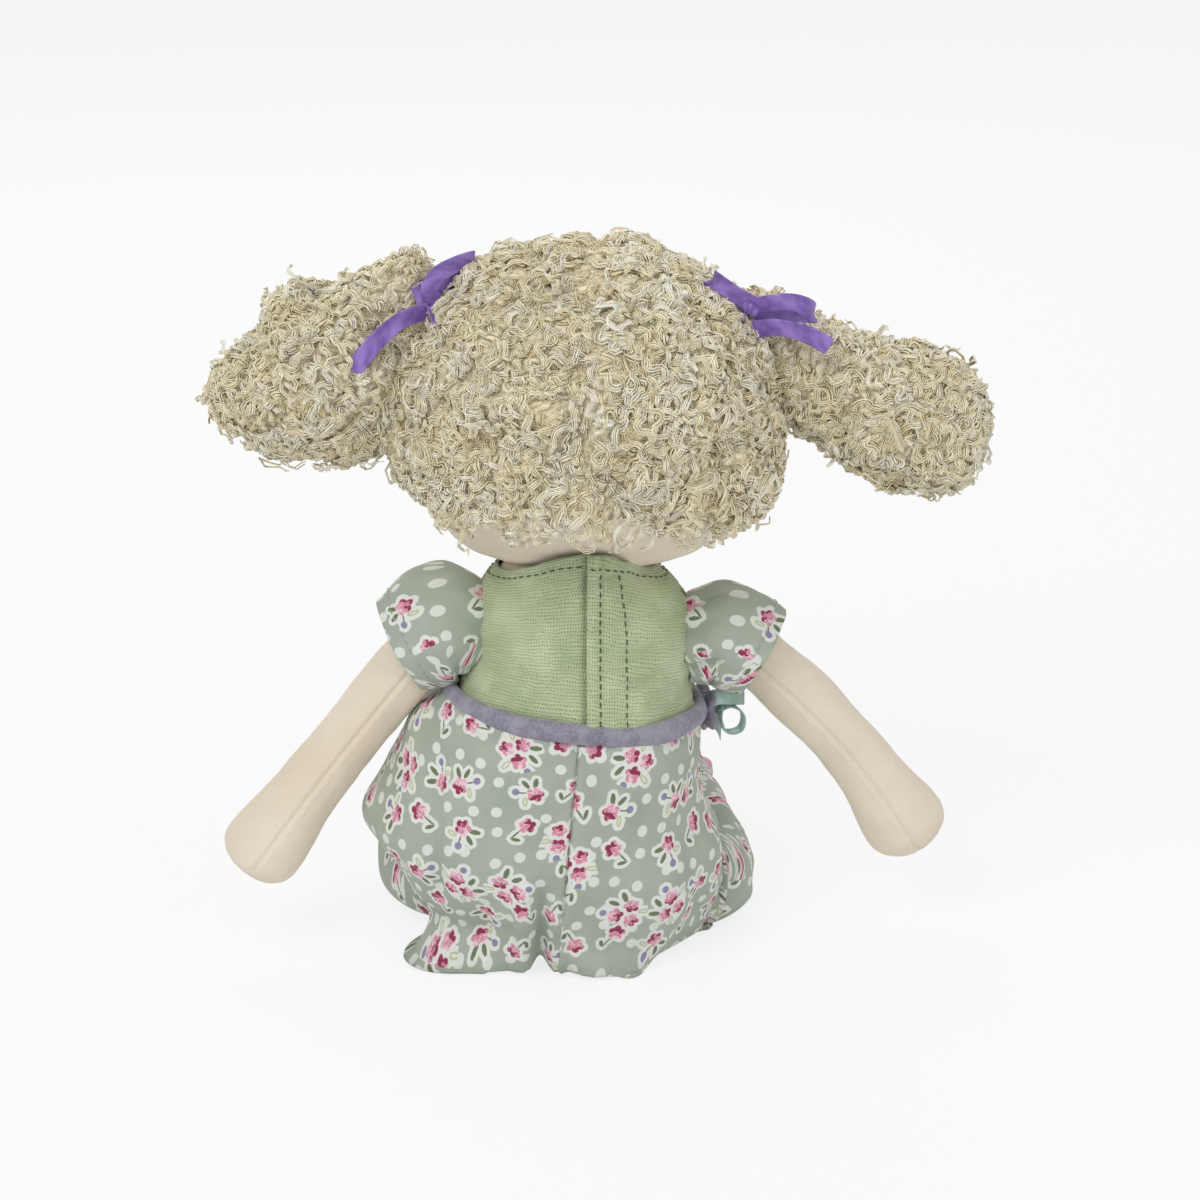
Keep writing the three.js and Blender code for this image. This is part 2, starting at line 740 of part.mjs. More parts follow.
function bodice_panel(from, to, columns, out_at) {
  const grid = (extra) => bodice_row_shares.map((rise) => (
    Array.from({ length: columns + 1 }, (_, c) => {
      const angle = from + ((to - from) * c) / columns;
      return bodice_point(angle, rise, out_at(angle, rise) + extra);
    })));
  return cut(
    sheet(grid(dress_cloth), grid(0)),
    ...sides.map(([, side]) => ball(shoulder(side), sleeve_radius + seam_gap)),
  );
}

const waist_depth = torso_half_depth * share_at(torso_shares, torso_share_at(waist_height), 2);
const side_seam = (seam_gap / 2) / torso_half_width;
const half_overlap = placket_overlap / 2 / waist_depth;
const flat_lap = dress_cloth + seam_gap;
const taped_lap = 2 * (tape_thickness + seam_gap) + flat_lap;
// The doll's right back lies over the other back, and rises over the tapes above the waist
const lap_out = (angle, rise) => {
  const away = Math.max(0, angle - Math.PI / 2 - half_overlap) / (half_overlap * 3);
  const lap = rise > 0.1 ? taped_lap : flat_lap;
  return bodice_inner + lap * Math.max(0, 1 - away * away);
};
part('bodice_front', bodice_panel(-Math.PI + side_seam, -side_seam, 14, () => bodice_inner), gauze);
part('bodice_back_left', bodice_panel(side_seam, Math.PI / 2 + half_overlap, 9, () => bodice_inner), gauze);
part('bodice_back_right', bodice_panel(Math.PI / 2 - half_overlap, Math.PI - side_seam, 9, lap_out), gauze);

function placket_tape(out) {
  const half = tape_width / 2 / waist_depth;
  const grid = (extra) => tape_row_shares.map((rise) => [-1, -0.33, 0.33, 1].map((edge) => (
    bodice_point(Math.PI / 2 + edge * half, rise, out + extra))));
  return sheet(grid(tape_thickness), grid(0));
}
const over_left = bodice_inner + dress_cloth + seam_gap;
part('closure_hook_tape', placket_tape(over_left), tape, 0.8);
part('closure_loop_tape', placket_tape(over_left + tape_thickness + seam_gap), tape, 0.95);

// Romper: a balloon round the hips in two halves, flat where it is sat on, that sags to the doll's
// left. Height share, share of the side puffs, share of the back and front puffs
const romper_puff_shares = [
  [0, -0.14, -0.4],
  [0.05, 0.3, 0.45],
  [0.15, 0.5, 0.85],
  [0.32, 0.72, 1],
  [0.52, 1, 1.05],
  [0.7, 0.78, 0.9],
  [0.88, 0.3, 0.45],
  [1, 0.02, 0.04],
];
const romper_folds = 6;
const romper_fold_share = 0.12;

// A ring whose corners are squarer than an oval's, with its own reach to each side
const romper_corner_share = 0.4;

function romper_rings(inset, count) {
  return romper_puff_shares.map(([share, side_puff, deep_puff], k) => {
    const height = (waist_height - seam_gap) * share;
    const body = Math.max(0, torso_share_at(height));
    const lowest = k === 0 ? inset : 0;
    const highest = k === romper_puff_shares.length - 1 && inset ? cut_overrun / 20 : 0;
    const clear = (k === 0 ? 0 : seam_gap + dress_cloth) - inset;
    const shift = pelvis_shift * share_at(torso_shares, body, 3);
    const wide = torso_half_width * share_at(torso_shares, Math.max(body, 0.04), 1) + clear;
    const deep = torso_half_depth * share_at(torso_shares, Math.max(body, 0.04), 2) + clear;
    const power = 2 + romper_corner_share * Math.max(0, Math.min(1, deep_puff));
    return Array.from({ length: count }, (_, i) => {
      const angle = (i / count) * turn;
      const [along, behind] = [Math.cos(angle), Math.sin(angle)]
        .map((step) => Math.sign(step) * Math.abs(step) ** (2 / power));
      const fold = romper_fold_share * (0.5 - 0.5 * Math.cos(romper_folds * angle));
      const side_reach = (along > 0 ? romper_left_puff : romper_right_puff) * side_puff * (1 - fold);
      const deep_reach = (behind > 0 ? romper_back_puff : romper_front_puff) * deep_puff * (1 - fold);
      return at(
        shift + (wide + side_reach) * along, (deep + deep_reach) * behind, height + lowest + highest,
      );
    });
  });
}
{
  const shell = cut(loft(romper_rings(0, 24)), loft(romper_rings(dress_cloth, 24)));
  const hip_room = sides.map(([, side]) => join(
    hip_puff(side, fit_gap * 0.7),
    bar(hip(side), hip(side).add(at(side * cut_overrun, 0, 0)), hip_puff_radius * 0.6, 14),
  ));
  const cleared = cut(shell, ...hip_room, belly_cut(0), seat_cut(fit_gap));
  for (const [name, side] of sides) {
    const seam = (x) => x + side * seam_gap / 2;
    const seam_rows = [[-cut_overrun, pelvis_shift], [waist_height, 0], [cut_overrun * 3, 0]];
    const half = loft(seam_rows.map(([z, x]) => [
      at(seam(x), -cut_overrun * 2, z),
      at(seam(x), cut_overrun * 2, z),
      at(seam(x) + side * cut_overrun * 3, cut_overrun * 2, z),
      at(seam(x) + side * cut_overrun * 3, -cut_overrun * 2, z),
    ]));
    part(`romper_${name}`, largest(keep(cleared, half)), floral);
  }
}

// Velour sash over the seam of bodice and romper
function waist_ring(out, height, count) {
  const share = torso_share_at(waist_height);
  return ring(
    at(pelvis_shift * share_at(torso_shares, share, 3), 0, height), ...level_axes,
    torso_half_width * share_at(torso_shares, share, 1) + out,
    torso_half_depth * share_at(torso_shares, share, 2) + out,
    count,
  );
}
const sash_inner = bodice_inner + flat_lap + dress_cloth + seam_gap;
const sash_rows = [[-0.5, 0.25], [-0.2, 1], [0.2, 1], [0.5, 0.25], [0.5, 0], [-0.5, 0]];
part('waist_sash', hoop(sash_rows.map(([rise, thick]) => (
  waist_ring(sash_inner + sash_thickness * thick, waist_height + sash_height * rise, 24)))), velour);

// Trimming at the doll's right side of the waist: velour petals under a satin bow
const trim_angle = 197 * rad;
const trim_out = at(Math.cos(trim_angle), Math.sin(trim_angle), 0);
const trim_along = at(-Math.sin(trim_angle), Math.cos(trim_angle), 0);
const waist_reach = (out) => {
  const share = torso_share_at(waist_height);
  const wide = torso_half_width * share_at(torso_shares, share, 1) + out;
  const deep = torso_half_depth * share_at(torso_shares, share, 2) + out;
  return 1 / Math.hypot(Math.cos(trim_angle) / wide, Math.sin(trim_angle) / deep);
};
const waist_shift = pelvis_shift * share_at(torso_shares, torso_share_at(waist_height), 3);
const trim_base = (out) => at(waist_shift, 0, waist_height - trim_drop)
  .addScaledVector(trim_out, waist_reach(sash_inner + sash_thickness) + out);
const petal_count = 5;
const trim_gap = seam_gap * 1.5;
{
  const petals = (depth) => (angle) => 1 - depth * (0.5 + 0.5 * Math.cos(petal_count * angle));
  const petal_shares = [[0, 0.7, 0.1], [0.25, 1, 0.28], [0.6, 0.85, 0.25], [0.75, 0.4, 0.1]];
  const rings = petal_shares.map(([rise, wide, wave]) => (
    ring(trim_base(trim_gap + velour_bow_depth * rise * 0.5), trim_along, up,
      velour_bow_width / 2 * wide, velour_bow_height / 2 * wide, 20, petals(wave))));
  part('velour_petals', loft(rings), velour);
}

// A tied bow from one ribbon: two loops, a knot and two tails. Each strip's places are shares of the reach
// along, out and up from the knot. A loop lies flat against out, and a tail leans up
function tied_bow({ base, along, out, reach, loops, tails, width, thickness, knot }) {
  const place = ([a, o, r]) => base.clone().addScaledVector(along, a * reach)
    .addScaledVector(out, o * reach).addScaledVector(up, r * reach);
  const knot_in = knot * 0.25;
  const flat = (lean) => out.clone().multiplyScalar(1 - lean).addScaledVector(up, lean).normalize();
  const drawn = (row, lean, steps) => {
    const points = row.map(place);
    points[0].addScaledVector(points[1].clone().sub(points[0]).normalize(), knot_in);
    if (lean === 0) {
      const last = points.length - 1;
      points[last].addScaledVector(points[last - 1].clone().sub(points[last]).normalize(), knot_in);
    }
    return strip(points, flat(lean), width, thickness, steps);
  };
  const strips = [...loops.map((row) => drawn(row, 0, 6)), ...tails.map((row) => drawn(row, 0.75, 3))];
  const rings = [[-0.62, 0.55], [-0.3, 0.95], [0.3, 0.95], [0.62, 0.55]].map(([a, r]) => (
    ring(base.clone().addScaledVector(along, a * knot), out, up, knot * 0.55 * r, knot * 0.6 * r, 10)));
  return largest(join(loft(rings), ...strips));
}
part('satin_bow', tied_bow({
  base: trim_base(trim_gap * 2 + velour_bow_depth * 0.375 + satin_width * 0.4),
  along: trim_along, out: trim_out, reach: satin_bow_width / 2,
  loops: [-1, 1].map((hand) => [
    [0, 0, 0], [hand * 0.45, 0.1, 0.5], [hand, 0.2, 0.45],
    [hand * 1.1, 0.2, -0.05], [hand * 0.55, 0.1, -0.3], [0, 0, 0],
  ]),
  tails: [-1, 1].map((hand) => [[0, 0, 0], [hand * 0.4, 0.1, -0.6], [hand * 0.85, 0.2, -1.3]]),
  width: satin_width * 0.8, thickness: satin_thickness, knot: satin_knot,
}), mint, 0.35);

// Wig: a thick curly cap on the head, open at the face
function lumps(place, size) {
  const [x, y, z] = place.clone().divideScalar(lump_spacing).toArray();
  return size * (Math.sin(x * 1.9 + z * 1.3) * Math.cos(y * 1.7 - z * 1.1)
    + 0.5 * Math.sin(z * 3.7 + x * 2.9 + y * 3.1));
}
const wig_shares = [-0.98, -0.9, -0.72, -0.5, -0.25, 0, 0.25, 0.5, 0.72, 0.9, 0.98];

function wig_block(out, count, bumpy) {
  const middle = at(0, 0, head_middle);
  return loft(wig_shares.map((share) => {
    // The hair hangs fuller below the widest place than above it
    const power = share < 0 ? 3 : 2;
    const reach = (1 - Math.abs(share) ** power) ** (1 / power);
    const points = ring(
      at(0, 0, head_middle + (head_height / 2 + wig_crown_thickness + out) * share), ...level_axes,
      (head_half_width + wig_thickness + out) * reach,
      (head_half_depth + wig_thickness + out) * reach, count,
    );
    if (bumpy) {
      points.forEach((p) => p.addScaledVector(p.clone().sub(middle).normalize(), lumps(p, wig_lump)));
    }
    return points;
  }));
}
// Each pigtail turns about its tie, in a round hollow of the wig
const tie = (side) => at(side * tie_spacing, 0, tie_height);
const tie_room = Math.hypot(tie_radius + seam_gap + tie_thickness, tie_length / 2) + seam_gap;
const knot_lean = 0.62;

// Places along, back and up from the knot, in shares of the bow's reach
const bow_shares = {
  loops: [
    [[0, 0, 0], [-0.2, 0.1, 0.4], [-0.5, 0.22, 0.72], [-0.72, 0.38, 0.6], [-0.45, 0.3, 0.2], [0, 0, 0]],
    [[0, 0, 0], [0.28, 0.5, 0.2], [0.62, 0.8, 0.16], [0.86, 0.86, 0], [0.55, 0.8, -0.14], [0, 0, 0]],
  ],
  tails: [
    [[0, 0, 0], [0.3, 0.6, -0.25], [0.62, 0.84, -0.5], [0.95, 0.88, -0.78]],
    [[0, 0, 0], [0.14, 0.45, -0.35], [0.2, 0.78, -0.7], [0.2, 0.84, -1]],
  ],
};

function hair_bow(side) {
  const knot_reach = tie_radius + seam_gap + tie_thickness + seam_gap + bow_knot * 0.57;
  const base = tie(side).addScaledVector(back, knot_reach * knot_lean)
    .addScaledVector(up, knot_reach * Math.sqrt(1 - knot_lean * knot_lean));
  return tied_bow({
    base, along: at(side, 0, 0), out: back, reach: bow_reach, ...bow_shares,
    width: ribbon_width, thickness: ribbon_thickness, knot: bow_knot,
  });
}

// The root is a ball in the elastic and a neck, in shares of the tie's radius
const root_shares = [
  [-0.86, 0.4], [-0.62, 0.77], [-0.3, 0.95], [0, 1], [0.3, 0.95], [0.62, 0.75], [0.9, 0.64], [1.12, 0.76],
];
// Distance share, drop share and radius share of each pigtail
const pigtail_shares = {
  left: [
    [0.18, 0.1, 0.4], [0.29, 0.25, 0.85], [0.43, 0.32, 1.14], [0.6, 0.33, 1],
    [0.77, 0.38, 0.78], [0.91, 0.4, 0.52], [1, 0.4, 0.22],
  ],
  right: [
    [0.16, 0.1, 0.4], [0.28, 0.3, 0.8], [0.44, 0.41, 0.93], [0.62, 0.49, 1],
    [0.8, 0.54, 0.92], [0.93, 0.55, 0.68], [1, 0.55, 0.28],
  ],
};

{
  const face_middle = (fringe_height + head_base) / 2;
  const face_high = (fringe_height - head_base) / 2;
  const face = loft([-cut_overrun * 2, -head_half_depth * 0.15].map((y) => (
    ring(at(0, y, face_middle), at(1, 0, 0), up, face_half_width, face_high, 24))));
  const below = block(
    at(-cut_overrun * 2, -cut_overrun * 2, 0), at(cut_overrun * 2, cut_overrun * 2, wig_edge_height),
  );
  const hollows = sides.map(([, side]) => ball(tie(side), tie_room, 16, 10));
  part('wig_cap', cut(wig_block(0, 20, true), head_block(-seam_gap, 16), face, below, ...hollows), hair, 1);
}

for (const [name, side] of sides) {
  const length = side > 0 ? left_pigtail_length : right_pigtail_length;
  const out = at(side, 0, 0);
  const band = hoop([[-0.5, 0], [0.5, 0], [0.5, 1], [-0.5, 1]].map(([end, thick]) => {
    const radius = tie_radius + seam_gap + tie_thickness * thick;
    return ring(tie(side).addScaledVector(out, tie_length * end), back, up, radius, radius, 16);
  }));
  part(`${name}_hair_elastic`, band, 0xe4dccb, 0.8);

  const root_rings = root_shares.map(([step, wide]) => {
    const radius = tie_radius * wide;
    return ring(tie(side).addScaledVector(out, tie_radius * step), back, up, radius, radius, 16);
  });
  const rows = pigtail_shares[name];
  const body_rings = rows.map(([distance, drop, radius_share], k) => {
    const before = rows[Math.max(k - 1, 0)];
    const after = rows[Math.min(k + 1, rows.length - 1)];
    const heading = at(side * (after[0] - before[0]), 0, (before[1] - after[1]) / 3).normalize();
    const radius = pigtail_radius * radius_share;
    const middle = tie(side).addScaledVector(out, length * distance).addScaledVector(up, -length * drop);
    const points = ring(middle, back, heading.clone().cross(back).multiplyScalar(side), radius, radius, 16);
    const lump = pigtail_lump * radius_share;
    points.forEach((p) => p.addScaledVector(p.clone().sub(middle).normalize(), lumps(p, lump)));
    return points;
  });
  const tail = loft([...root_rings, ...body_rings]);
  part(`${name}_pigtail`, cut(tail, cut(
    wig_block(wig_lump * 2 + seam_gap, 20, false), ball(tie(side), tie_room - seam_gap, 16, 10),
  )), hair, 1);
  part(`${name}_hair_bow`, hair_bow(side), purple, 0.3);
}

export default whole;
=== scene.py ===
"""The looks of a seated rag doll: stuffed cotton limbs, a curly wig with satin bows, a gauze bodice,
puff sleeves and a balloon romper. Shapes are in millimetres until a mesh is made."""
import json
import math

import bpy
import numpy as np
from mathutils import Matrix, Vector
from mathutils.bvhtree import BVHTree


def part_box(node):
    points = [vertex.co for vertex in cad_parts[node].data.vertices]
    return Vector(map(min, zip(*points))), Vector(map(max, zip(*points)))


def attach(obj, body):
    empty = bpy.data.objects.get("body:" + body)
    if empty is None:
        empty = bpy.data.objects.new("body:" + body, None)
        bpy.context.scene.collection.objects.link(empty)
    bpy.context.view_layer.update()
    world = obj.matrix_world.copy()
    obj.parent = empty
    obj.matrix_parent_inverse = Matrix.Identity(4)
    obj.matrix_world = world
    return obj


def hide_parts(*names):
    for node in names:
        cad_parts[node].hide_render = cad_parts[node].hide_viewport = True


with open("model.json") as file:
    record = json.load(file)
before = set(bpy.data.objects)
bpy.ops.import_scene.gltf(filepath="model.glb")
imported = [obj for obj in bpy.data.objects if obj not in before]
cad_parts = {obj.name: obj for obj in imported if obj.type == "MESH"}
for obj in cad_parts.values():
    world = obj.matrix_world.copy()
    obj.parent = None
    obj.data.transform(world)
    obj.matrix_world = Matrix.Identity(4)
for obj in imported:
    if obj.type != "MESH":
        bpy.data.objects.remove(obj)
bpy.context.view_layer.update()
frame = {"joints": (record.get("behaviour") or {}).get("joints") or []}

MM = 0.001
TURN = 2 * math.pi
LEFT = np.array([1.0, 0.0, 0.0])
BACK = np.array([0.0, 1.0, 0.0])
UP = np.array([0.0, 0.0, 1.0])

# Sizes of cloth and thread
SKIN_SEAM_DEPTH = 0.55
SEAM_WIDTH = 0.8
DRESS_CLOTH = 0.7
STITCH_LENGTH = 2.1
STITCH_GAP = 1.0
STITCH_RADIUS = 0.26
RIBBON_THICKNESS = 0.35
RIBBON_CROWN = 0.35

# Placing that the frame's solids follow too
ARM_LENGTH = 109
ARM_RADIUS = 11
ARM_SPLAY = {"left": 38.5, "right": 38.5}
ARM_BOW = {"left": 1, "right": 5}
ARM_AHEAD = {"left": -10, "right": 13}
ARMHOLE_TILT = 15
SLEEVE_DIP = 30
SLEEVE_RADIUS = 20.8
LEG_SPREAD = 1
SIDES = {"left": 1, "right": -1}

joints = {joint["name"]: np.array(joint["pos_m"], float) / MM for joint in frame["joints"]}
# The upright plane of the neck, arms and pigtails, from front to back
BODY_Y = joints["neck_turn"][1]


def node_box(node):
    low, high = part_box(node)
    return np.array(low) / MM, np.array(high) / MM


def node_middle(node):
    return sum(node_box(node)) / 2


# Geometry

def unit(vectors):
    return vectors / np.maximum(np.linalg.norm(vectors, axis=-1, keepdims=True), 1e-9)


def smooth(table, keys):
    """A table's values at the keys, on a smooth curve. Each row of the table is a key and its values."""
    table = np.array(table, float)
    known, values = table[:, 0], table[:, 1:]
    slopes = np.gradient(values, known, axis=0)
    keys = np.clip(np.asarray(keys, float), known[0], known[-1])
    row = np.clip(np.searchsorted(known, keys, side="right") - 1, 0, len(known) - 2)
    span = known[row + 1] - known[row]
    share = ((keys - known[row]) / span)[..., None]
    span = span[..., None]
    square, cube = share**2, share**3
    return (
        values[row] * (2 * cube - 3 * square + 1)
        + slopes[row] * span * (cube - 2 * square + share)
        + values[row + 1] * (3 * square - 2 * cube)
        + slopes[row + 1] * span * (cube - square)
    )


def ease(values, low, high):
    """From 0 at low to 1 at high, smoothly."""
    share = np.clip((values - low) / (high - low), 0, 1)
    return share * share * (3 - 2 * share)


def bump(values, centre, width):
    return np.exp(-(((values - centre) / width) ** 2))


def even_turns(count):
    return np.arange(count) / count * TURN


def away_from(turns, line):
    """How far the turns lie from a line, either way round."""
    return np.abs(np.mod(turns - line + math.pi, TURN) - math.pi)


def ripple(points, length, seed, waves=14):
    """Smooth random lumps, mostly from -1 to 1, about half a length across."""
    rng = np.random.default_rng(seed)
    directions = unit(rng.normal(size=(waves, 3))) * TURN / length * rng.uniform(0.6, 1.5, (waves, 1))
    return np.sin(points @ directions.T + rng.uniform(0, TURN, waves)).mean(-1) * math.sqrt(waves)


def angles(count, seam, crowding=0.65):
    """Angles round a ring, closer together at the seam."""
    even = even_turns(count)
    return even - crowding * np.sin(even) + seam


def curve(points, steps):
    """Evenly keyed places on a smooth curve through the points."""
    points = np.array(points, float)
    keys = np.r_[0, np.cumsum(np.linalg.norm(np.diff(points[:, :3], axis=0), axis=1))]
    table = np.column_stack([keys, points])
    return smooth(table, np.linspace(0, keys[-1], steps))


def squarer(steps, power):
    """Sines or cosines for a ring whose corners are fuller than a circle's when the power is over 2."""
    return np.sign(steps) * np.abs(steps) ** (2 / power)


def rings(middle_x, middle_y, wide, deep, height, turns):
    """Level rings about an upright line, with a half width and half depth at each height."""
    places = (middle_x + wide * np.cos(turns), middle_y + deep * np.sin(turns), height[:, None])
    return np.stack(np.broadcast_arrays(*places), -1)


def flatten_low(grid, floor, give_share=0.03):
    """Presses what lies lower than a height up to near it."""
    grid[..., 2] = np.maximum(grid[..., 2], floor + give_share * (grid[..., 2] - floor))


def sweep(path, wide, high, side, turns, power=2.0):
    """Rings round a path. The first axis of each ring is nearest to the side direction."""
    along = unit(np.gradient(path, axis=0))
    across = unit(side - (along @ side)[:, None] * along)
    over = np.cross(along, across)
    wide, high = (np.broadcast_to(np.asarray(r, float), (len(path),)) for r in (wide, high))
    return (
        path[:, None]
        + (wide[:, None] * squarer(np.cos(turns), power))[..., None] * across[:, None]
        + (high[:, None] * squarer(np.sin(turns), power))[..., None] * over[:, None]
    )


def grid_normals(grid, wrap, inside=None):
    """Unit normals of a grid of points, away from the inside."""
    if wrap:
        columns = np.roll(grid, -1, 1) - np.roll(grid, 1, 1)
        middle = grid.mean(1, keepdims=True)
    else:
        columns = np.gradient(grid, axis=1)
        middle = grid.mean((0, 1)) if inside is None else inside
    normals = unit(np.cross(columns, np.gradient(grid, axis=0)))
    return normals * (1 if ((grid - middle) * normals).sum() > 0 else -1)


def pushed(grid, amount, wrap, inside=None):
    return grid + grid_normals(grid, wrap, inside) * np.asarray(amount)[..., None]


def flat_places(grid, wrap, middle=0):
    """Where each point lies on the flat cloth, in millimetres, measured from a middle column."""
    closed = np.concatenate([grid, grid[:, :1]], 1) if wrap else grid
    across = np.cumsum(np.linalg.norm(np.diff(closed, axis=1), axis=2), 1)
    across = np.concatenate([np.zeros((len(grid), 1)), across], 1)
    down = np.cumsum(np.linalg.norm(np.diff(closed, axis=0), axis=2).mean(1))
    down = np.broadcast_to(np.r_[0, down][:, None], across.shape)
    return np.stack([across - across[:, [middle]], down], -1)


def quads(rows, columns, wrap):
    r, c = np.meshgrid(np.arange(rows - 1), np.arange(columns - (0 if wrap else 1)), indexing="ij")
    after = (c + 1) % columns
    r, below = r * columns, (r + 1) * columns
    return np.stack([r + c, r + after, below + after, below + c], -1).reshape(-1, 4)


def quad_places(places, flipped=False):
    corners = np.stack([places[:-1, :-1], places[:-1, 1:], places[1:, 1:], places[1:, :-1]], 2)
    corners = corners.reshape(-1, 4, 2)
    return corners[:, ::-1] if flipped else corners


def make(name, points, faces, places=None):
    """A mesh object from points and arrays of faces. Places are the corners' on the flat cloth."""
    mesh = bpy.data.meshes.new(name)
    points = np.asarray(points, float).reshape(-1, 3)
    mesh.vertices.add(len(points))
    mesh.vertices.foreach_set("co", (points * MM).ravel())
    corners = np.concatenate([f.ravel() for f in faces])
    sizes = np.concatenate([np.full(len(f), f.shape[1]) for f in faces])
    mesh.loops.add(len(corners))
    mesh.loops.foreach_set("vertex_index", corners)
    mesh.polygons.add(len(sizes))
    mesh.polygons.foreach_set("loop_start", np.r_[0, np.cumsum(sizes)[:-1]])
    mesh.polygons.foreach_set("use_smooth", np.ones(len(sizes), bool))
    if places is not None:
        layer = mesh.uv_layers.new(name="cloth")
        layer.data.foreach_set("uv", np.concatenate([p.reshape(-1, 2) for p in places]).ravel())
    mesh.update(calc_edges=True)
    mesh.validate()
    obj = bpy.data.objects.new(name, mesh)
    bpy.context.scene.collection.objects.link(obj)
    return obj


def outward(points, faces, normals_out):
    """Faces turned so that they wind with the normals."""
    a, b, c = (points[faces[:, k]] for k in (0, 1, 2))
    wrong = (np.cross(b - a, c - a) * normals_out[faces[:, 0]]).sum() < 0
    return faces[:, ::-1] if wrong else faces, wrong


def skin(name, grid):
    """A closed round piece from rings, with a fan at each end."""
    rows, columns = grid.shape[:2]
    points = np.concatenate([grid.reshape(-1, 3), grid[[0, -1]].mean(1)])
    normals = np.concatenate([grid_normals(grid, True).reshape(-1, 3), np.zeros((2, 3))])
    places = flat_places(grid, True)
    body, flipped = outward(points, quads(rows, columns, True), normals)
    step = np.arange(columns)
    after = (step + 1) % columns
    first = np.stack([np.full(columns, len(points) - 2), after, step], -1)
    last = np.stack([np.full(columns, len(points) - 1), step, after], -1)
    caps = np.concatenate([first, last + [0, 1, 1] * np.array((rows - 1) * columns)])
    caps = caps[:, ::-1] if flipped else caps
    cap_places = np.zeros((len(caps), 3, 2))
    return make(name, points, [body, caps], [quad_places(places, flipped), cap_places])


def shell(name, grid, thickness=DRESS_CLOTH, wrap=False, inside=None, middle=0, keep=None):
    """Cloth with two walls and closed rims, from one grid of points on its outer face."""
    rows, columns = grid.shape[:2]
    normals = grid_normals(grid, wrap, inside)
    inner = grid - normals * thickness
    points = np.concatenate([grid.reshape(-1, 3), inner.reshape(-1, 3)])
    outer_faces = quads(rows, columns, wrap)
    places = quad_places(flat_places(grid, wrap, middle))
    if keep is not None:
        kept = keep(grid.reshape(-1, 3)[outer_faces].mean(1))
        outer_faces, places = outer_faces[kept], places[kept]
    outer_faces, flipped = outward(points, outer_faces, normals.reshape(-1, 3))
    places = places[:, ::-1] if flipped else places
    count = rows * columns
    edges = np.stack([outer_faces, np.roll(outer_faces, -1, 1)], -1).reshape(-1, 2)
    edge_places = np.stack([places, np.roll(places, -1, 1)], 2).reshape(-1, 2, 2)
    code = np.sort(edges, 1) @ np.array([count, 1])
    _, where, uses = np.unique(code, return_inverse=True, return_counts=True)
    rim = uses[where.ravel()] == 1
    a, b = edges[rim].T
    rim_faces = np.stack([b, a, a + count, b + count], -1)
    rim_places = edge_places[rim][:, [1, 0, 0, 1]]
    return make(name, points, [outer_faces, outer_faces[:, ::-1] + count, rim_faces],
                [places, places[:, ::-1], rim_places])


def hoop(name, grid):
    """A ring that closes on itself both ways."""
    rows, columns = grid.shape[:2]
    closed = np.concatenate([grid, grid[:1]])
    faces = quads(rows + 1, columns, True) % (rows * columns)
    middle = grid.mean(1, keepdims=True)
    faces, flipped = outward(grid.reshape(-1, 3), faces, (grid - middle).reshape(-1, 3))
    return make(name, grid, [faces], [quad_places(flat_places(closed, True), flipped)])


def band(name, path, out, along, thick, tall, sides):
    """A hoop along a closed path, with half its thickness outwards and half its height along a direction."""
    section = even_turns(sides)
    return hoop(name, path[:, None] + (np.cos(section) * thick[:, None])[..., None] * out[:, None]
                + (np.sin(section) * tall)[..., None] * along)


def tubes(name, spines, radii, lean, sides, shade=None):
    """Many thin closed tubes in one mesh, whose spines have a row for each tube and step."""
    count, steps = spines.shape[:2]
    along = unit(np.gradient(spines, axis=1))
    across = unit(np.cross(along, lean[:, None]))
    over = np.cross(along, across)
    turns = even_turns(sides)
    ring = across[:, :, None] * np.cos(turns)[:, None] + over[:, :, None] * np.sin(turns)[:, None]
    points = spines[:, :, None] + ring * radii[:, :, None, None]
    one = quads(steps, sides, True)
    starts = np.arange(count)[:, None, None] * steps * sides
    ends = np.stack([np.arange(sides)[::-1], np.arange(sides) + (steps - 1) * sides])
    faces = [(one + starts).reshape(-1, 4), (ends + starts).reshape(-1, sides)]
    obj = make(name, points, faces)
    if shade is not None:
        attribute = obj.data.attributes.new("shade", "FLOAT", "POINT")
        attribute.data.foreach_set("value", np.repeat(shade.ravel(), sides).astype(np.float32))
    return obj


def piece(obj, body, slot, material, *nodes):
    """Gives a piece its finish and its body, and hides the solids that it stands for."""
    obj.data.materials.append(material)
    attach(obj, body)
    if nodes:
        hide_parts(*nodes)
    return obj


def stitches(name, path, out, body, slot, material, length=STITCH_LENGTH, gap=STITCH_GAP):
    """Running stitches along a path on a surface, whose outward directions are given."""
    along = np.r_[0, np.cumsum(np.linalg.norm(np.diff(path, axis=0), axis=1))]
    starts = np.arange(gap, along[-1] - length, length + gap)
    steps = np.linspace(0, 1, 6)
    keys = starts[:, None] + steps * length
    places = np.stack([np.interp(keys, along, path[:, k]) for k in range(3)], -1)
    lean = unit(np.stack([np.interp(keys[:, 2], along, out[:, k]) for k in range(3)], -1))
    sunk = STITCH_RADIUS * (0.75 - 1.3 * (2 * steps - 1) ** 4)
    spines = places + lean[:, None] * sunk[None, :, None]
    radii = np.broadcast_to(STITCH_RADIUS * np.array([0.5, 0.95, 1, 1, 0.95, 0.5]), keys.shape)
    return piece(tubes(name, spines, radii, lean, 6), body, slot, material)


# Materials

